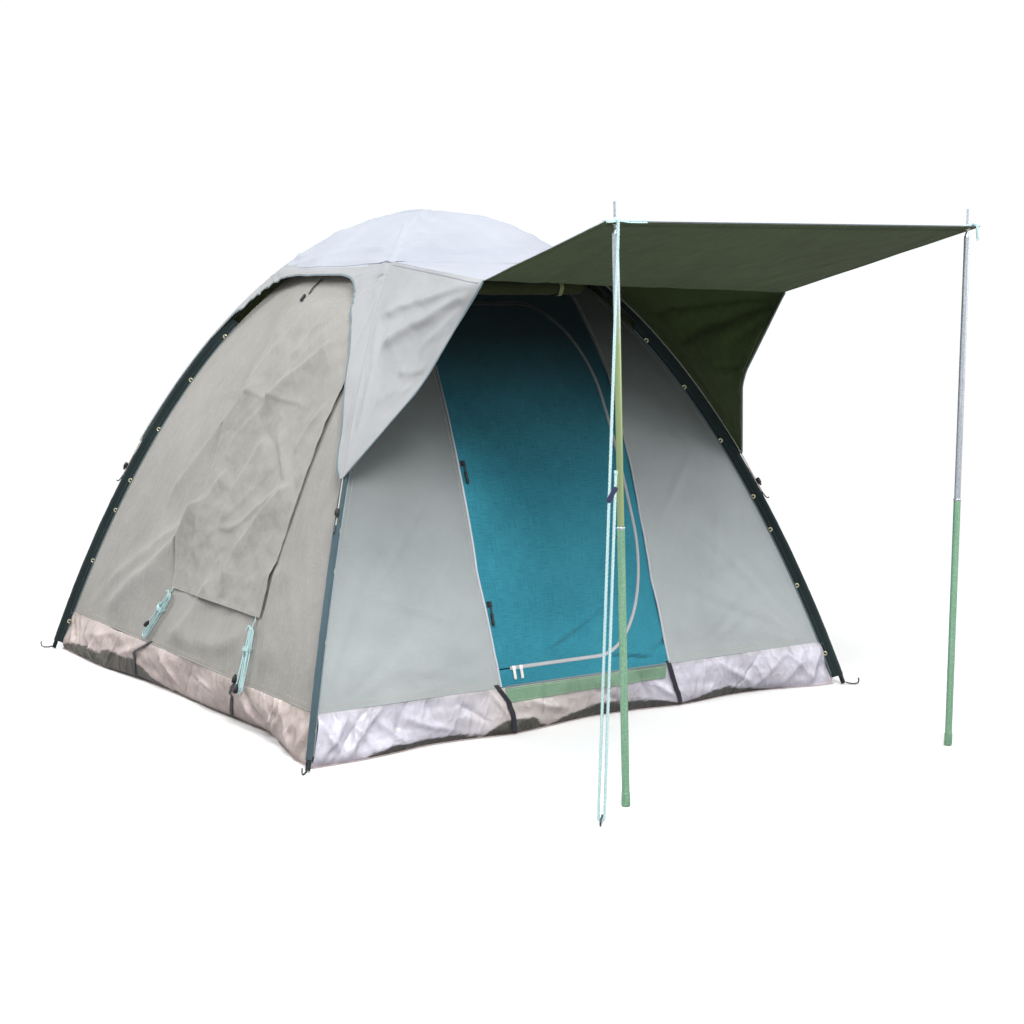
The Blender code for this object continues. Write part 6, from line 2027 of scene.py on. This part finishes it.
def makeWings():
    f = awningFacts
    for hand, name in ((-1, "left"), (1, "right")):
        corner = "front_left" if hand < 0 else "front_right"
        topRun = np.interp(tent["knuckle"], ridge[:, 1], ridgeLength)
        lowRun = np.interp(tent["tipHeight"], ridge[:, 1], ridgeLength)
        eave = eaveCorner(hand) - (0, 0, tent["touchGap"])
        mid = np.array(f["leftWing"] if hand < 0 else f["rightWing"])
        tip = inCorner(corner, ridgeAt(tent["tipHeight"]), tent["tipHeight"])
        def where(u, v, hand=hand, corner=corner, eave=eave, mid=mid, tip=tip):
            up = v / wingLength
            across = 1 - u if hand < 0 else u
            run = lowRun + (topRun - lowRun) * up
            reach = np.interp(run, ridgeLength, ridge[:, 0])
            height = np.interp(run, ridgeLength, ridge[:, 1])
            inner = inCorner(corner, reach, height) + (0, -0.0032, 0)
            outer = 0.0
            ease = 0.08 * np.minimum(1 - up, up) / 0.5
            for step in np.linspace(-1, 1, 9):
                down = 1 - up + ease * step
                first = np.clip(down / 0.5, 0, 1)[:, None]
                second = np.clip((down - 0.5) / 0.5, 0, 1)[:, None]
                outer = outer + (eave + (mid - eave) * first + (tip - mid) * second) / 9
            point = outer * (1 - across[:, None]) + inner * across[:, None]
            edge = awningPoint(0.0 if hand < 0 else 1.0, f["share"] * (1 - across)) - (0, 0, 0.0012)
            near = np.clip((up - 0.94) / 0.06, 0, 1)[:, None]
            point = point * (1 - near) + (point + (edge - point) * near) * near
            point[:, 0] += hand * wingFold(hand, across, up)
            return point
        u = np.linspace(0, 1, 70)
        sheetPiece(f"awningWing_{name}", [f"awning_wing_{name}"], u, np.linspace(0.001, wingLength, 90), where,
                   flyShaded, flyUnder, slot="fly_canvas", held="stretched",
                   restsOn=["flyRoof", "awningCloth"])
        v = np.linspace(0.004, 0.846, 140)
        free = where(np.full(140, 1.0 if hand < 0 else 0.0), v)
        normal = unit(np.cross(where(np.full(140, 0.97 if hand < 0 else 0.03), v) - free,
                               np.gradient(free, axis=0)))
        normal *= np.sign(normal[:, :1] * hand)
        tape(f"wingHem_{name}", free + normal * tapeLift, normal, 0.008, binding, "fly_canvas", 0.0011)
        inset = where(np.full(140, 0.975 if hand < 0 else 0.025), v)
        stitches(f"wingStitches_{name}", [(inset[3:-3], normal[3:-3])], tanThread, slot="fly_canvas")
        u = np.linspace(0.03, 0.985, 90)
        seam = where(u, np.full(90, 0.829))
        facing = unit(np.cross(np.gradient(seam, axis=0), where(u, np.full(90, 0.839)) - seam))
        facing *= np.sign(facing[:, :1] * hand)
        tape(f"wingSeam_{name}", seam + facing * tapeLift, facing, 0.004, seamGrey, "fly_canvas", 0.001)


# Door toggles, zip sliders and small fittings

def makeToggles():
    cordLength = 0.034
    for z, name in ((0.985, "upper"), (0.475, "lower")):
        x = float(edgeAt(doorLeft, z)) + 0.018
        here, across, up, out = sideFrame("front", x, z, tent["netting"] + 0.0066, -0.08)
        body = f"door_toggle_{name}"
        pieces = []
        for hand in (1, -1):
            line = []
            for share, aside, lift in ((0, 0, 0), (0.3, 0.003, 0.001), (0.7, 0.003, 0.001), (1, 0, 0)):
                line.append(here - up * cordLength * share + across * (hand * aside) + out * lift)
            pieces.append(swept("cord", smoothRoute(line), roundSection(0.0015, 8), webbing))
        shape = [(0.0, 0.0), (0.0035, 0.0), (0.0055, 0.002), (0.0064, 0.008), (0.0058, 0.016), (0.0048, 0.02),
                 (0.0048, 0.028),
                 (0.0058, 0.032), (0.0064, 0.04), (0.0055, 0.046), (0.003, 0.048), (0.0, 0.048)]
        pieces.append(turnedShape("barrel", shape, frameAt(here - up * 0.032, across, out, up * -1),
            blackPlastic, 20))
        joined(f"doorToggle_{name}", pieces, body, "black_plastic", body)
        # The patch that the cord is sewn to stays on the door.
        patch = [(here + up * a - out * 0.0054) for a in (0.012, 0.004, -0.004, -0.01)]
        piece = swept(f"togglePatch_{name}", [tuple(p) for p in patch], tapeSection(0.022, 0.0016), webbing,
                      facing=tuple(out))
        fitted(piece, "mesh_door", "black_webbing")


def makeSliders():
    for x, name, node in ((-0.349, "Outer", "zip_slider_outer"), (-0.317, "Inner", "zip_slider_inner")):
        here, across, up, out = sideFrame("front", x, zipBottom, tent["netting"] + 0.0026, -0.038)
        work = bmesh.new()
        bmesh.ops.create_cube(work, size=1.0, matrix=Matrix.Diagonal((0.0145, 0.016, 0.0046, 1)))
        bmesh.ops.bevel(work, geom=list(work.edges), offset=0.0013, segments=3, affect="EDGES", profile=0.6)
        bmesh.ops.create_cube(work, size=1.0,
                              matrix=Matrix.Translation((0, 0.001, 0.0026)) @ Matrix.Diagonal((0.003, 0.009,
                                  0.002, 1)))
        mesh = bpy.data.meshes.new("slider")
        work.to_mesh(mesh)
        work.free()
        mesh.materials.append(whitePlastic.material)
        mesh.transform(frameAt(here, across, up, out))
        plate = place("slider", mesh)
        pull = [here - up * (0.0045 + 0.038 * a) + out * 0.0006 * math.sin(3 * a) for a in np.linspace(0, 1,
            14)]
        size = [0.7, 0.8, 0.9] + [1] * 9 + [0.95, 0.8]
        tongue = swept("tongue", pull, tapeSection(0.0115, 0.0026), whitePlastic, facing=tuple(out), size=size)
        joined(f"zipSlider{name}", [smoothed(plate, 40), tongue], node, "white_plastic", node)


# An elastic cord from each tip of the flysheet to a hook on the sleeve below it.
def makeShockCords():
    heights, outs = np.array(((0.962, 0.93, 0.885, 0.835, 0.792), (0.0265, 0.0262, 0.025, 0.0246, 0.0243)))
    for corner in corners:
        x, y = np.array(corners[corner]) / math.sqrt(2)
        line = bowPoint(corner, stationAt(heights), outs)
        route = smoothRoute(line)
        cord = swept(f"tipCord_{corner}", route, roundSection(0.002, 12), ropeElastic, turn=0)
        fitted(cord, "tent", "rope_mint")
        down = Vector(line[-1] - line[-2]).normalized()
        outward = Vector((x, y, 0.25)).normalized()
        cordLock(f"tipStopper_{corner}", Vector(line[3]) + outward * 0.0085, down, "tent")
        hook = [line[-1]]
        middle = Vector(line[-1])
        for a, b in ((0.008, 0.0), (0.018, 0.002), (0.027, 0.004), (0.032, 0.01), (0.029, 0.015)):
            hook.append(tuple(middle + down * a + outward * b))
        bent = swept(f"tipHook_{corner}", smoothRoute([Vector(p) for p in hook]), roundSection(0.0024, 10),
                     blackPlastic)
        fitted(bent, "tent", "black_plastic")


ropeElastic = ropePaint("rope_elastic", (226, 220, 206), (150, 118, 92), (246, 244, 238))


# A rolled collar at the lower tube's rim and the button of its catch; a cap on its foot.
def makePoleFittings():
    for name, hand, foot in (("left", -1, (-0.5895, -2.169)), ("right", 1, (0.8613, -2.197))):
        top = spikePlace(hand)
        rise = (top - Vector((*foot, 0.0))).normalized()
        turn = rise.to_track_quat("Z", "Y").to_matrix().to_4x4()
        ground = -(top.z - 0.0125 * math.sqrt(1 - rise.z**2)) / rise.z
        fitFrame = Matrix.Translation(top + rise * (ground + 0.9)) @ turn
        ring = [(0.0114, 0.0), (0.0126, 0.0012), (0.0136, 0.0), (0.0139, -0.003), (0.0134, -0.006),
                (0.01255, -0.007), (0.01255, -0.0072), (0.0114, -0.0072), (0.0114, 0.0)]
        collar = turnedShape("collar", ring, fitFrame, poleBright, 32)
        buttonTurn = fitFrame @ Matrix.Translation((0, -0.0124, -0.03)) @ Matrix.Rotation(math.pi / 2, 4, "X")
        button = turnedShape("button", [(0.0, 0.0032), (0.0022, 0.003), (0.0033, 0.0016), (0.0034, 0.0),
            (0.0, 0.0)], buttonTurn, pegPaint, 16)
        joined(f"poleCollar_{name}", [collar, button], f"awning_pole_{name}_lower", "pole_steel")
        shoe = [(0.0128, 0.045), (0.014, 0.044), (0.0144, 0.004), (0.0128, 0.0009), (0.0, 0.0007)]
        cap = turnedShape(f"poleShoe_{name}", shoe, Matrix.Translation(top + rise * ground) @ turn, poleGrassReflection,
                          32)
        fitted(cap, f"awning_pole_{name}_lower", "pole_steel")


# The strap and toggle at the top of the left window, which hold the flap when it is rolled up.
def makeWindowToggle():
    z = np.linspace(1.672, 1.612, 24)
    x = np.interp(z, (1.612, 1.672), (-0.1365, -0.123))
    lift = tent["canvas"] + 0.004 + 0.0015 * np.sin(z * 120)
    spots = onSide("left", x, z, wallFold("left", x, z) + lift)
    tape("windowToggleStrap", spots, outFacing("left", z), 0.011, webbing, "black_webbing", 0.0016,
         body=flapBend("left"))
    here, across, up, out = sideFrame("left", -0.1385, 1.606, tent["canvas"] + 0.012, 0.02)
    shape = [(0.0, 0.0), (0.004, 0.0), (0.0058, 0.003), (0.0064, 0.01), (0.0056, 0.018), (0.0064, 0.026),
             (0.0058, 0.033), (0.004, 0.036), (0.0, 0.036)]
    toggle = turnedShape("windowToggle", shape, frameAt(here + up * 0.01, across, out, -up), blackPlastic, 20)
    fitted(toggle, flapBend("left"), "black_plastic")


# Pale reinforcing tape sewn along the awning's front edge at its left corner.
def makeCornerTape():
    across = np.linspace(0.004, 0.1, 40)
    edge = awningPoint(across, 1.0) + (0, -0.0004, tapeLift)
    rise = 0.01 * np.exp(-(((across - 0.036) / 0.014) ** 2))
    edge[:, 2] += rise * 0.35
    tape("awningCornerTape", edge, (0, -0.8, 0.6), 0.013, rope, "fly_canvas", 0.0014)


makeSleeves()
makeFly()
makeAwning()
makeWings()
makeToggles()
makeSliders()
makeShockCords()
makePoleFittings()
makeWindowToggle()
makeCornerTape()
print("fly, awning and fittings done")


def plainPaint(names, paint):
    for name in names:
        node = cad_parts[name]
        node.data.materials.clear()
        node.data.materials.append(paint.material)


plainPaint([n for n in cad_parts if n.startswith("bow_")], bowPaint)
plainPaint([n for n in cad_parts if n.startswith("corner_peg_")] + ["guy_peg"], pegPaint)
# The poles take their painted reflections of the green grass.
plainPaint(["awning_pole_left_upper"], poleGrassReflectionBelow)
plainPaint(["awning_pole_right_upper"], poleBright)
plainPaint(["awning_pole_left_lower", "awning_pole_right_lower"], poleGrassReflection)

for name, width, length, area in sheetSizes:
    print("sheet", name, width, "x", length, "m, cut area", area)
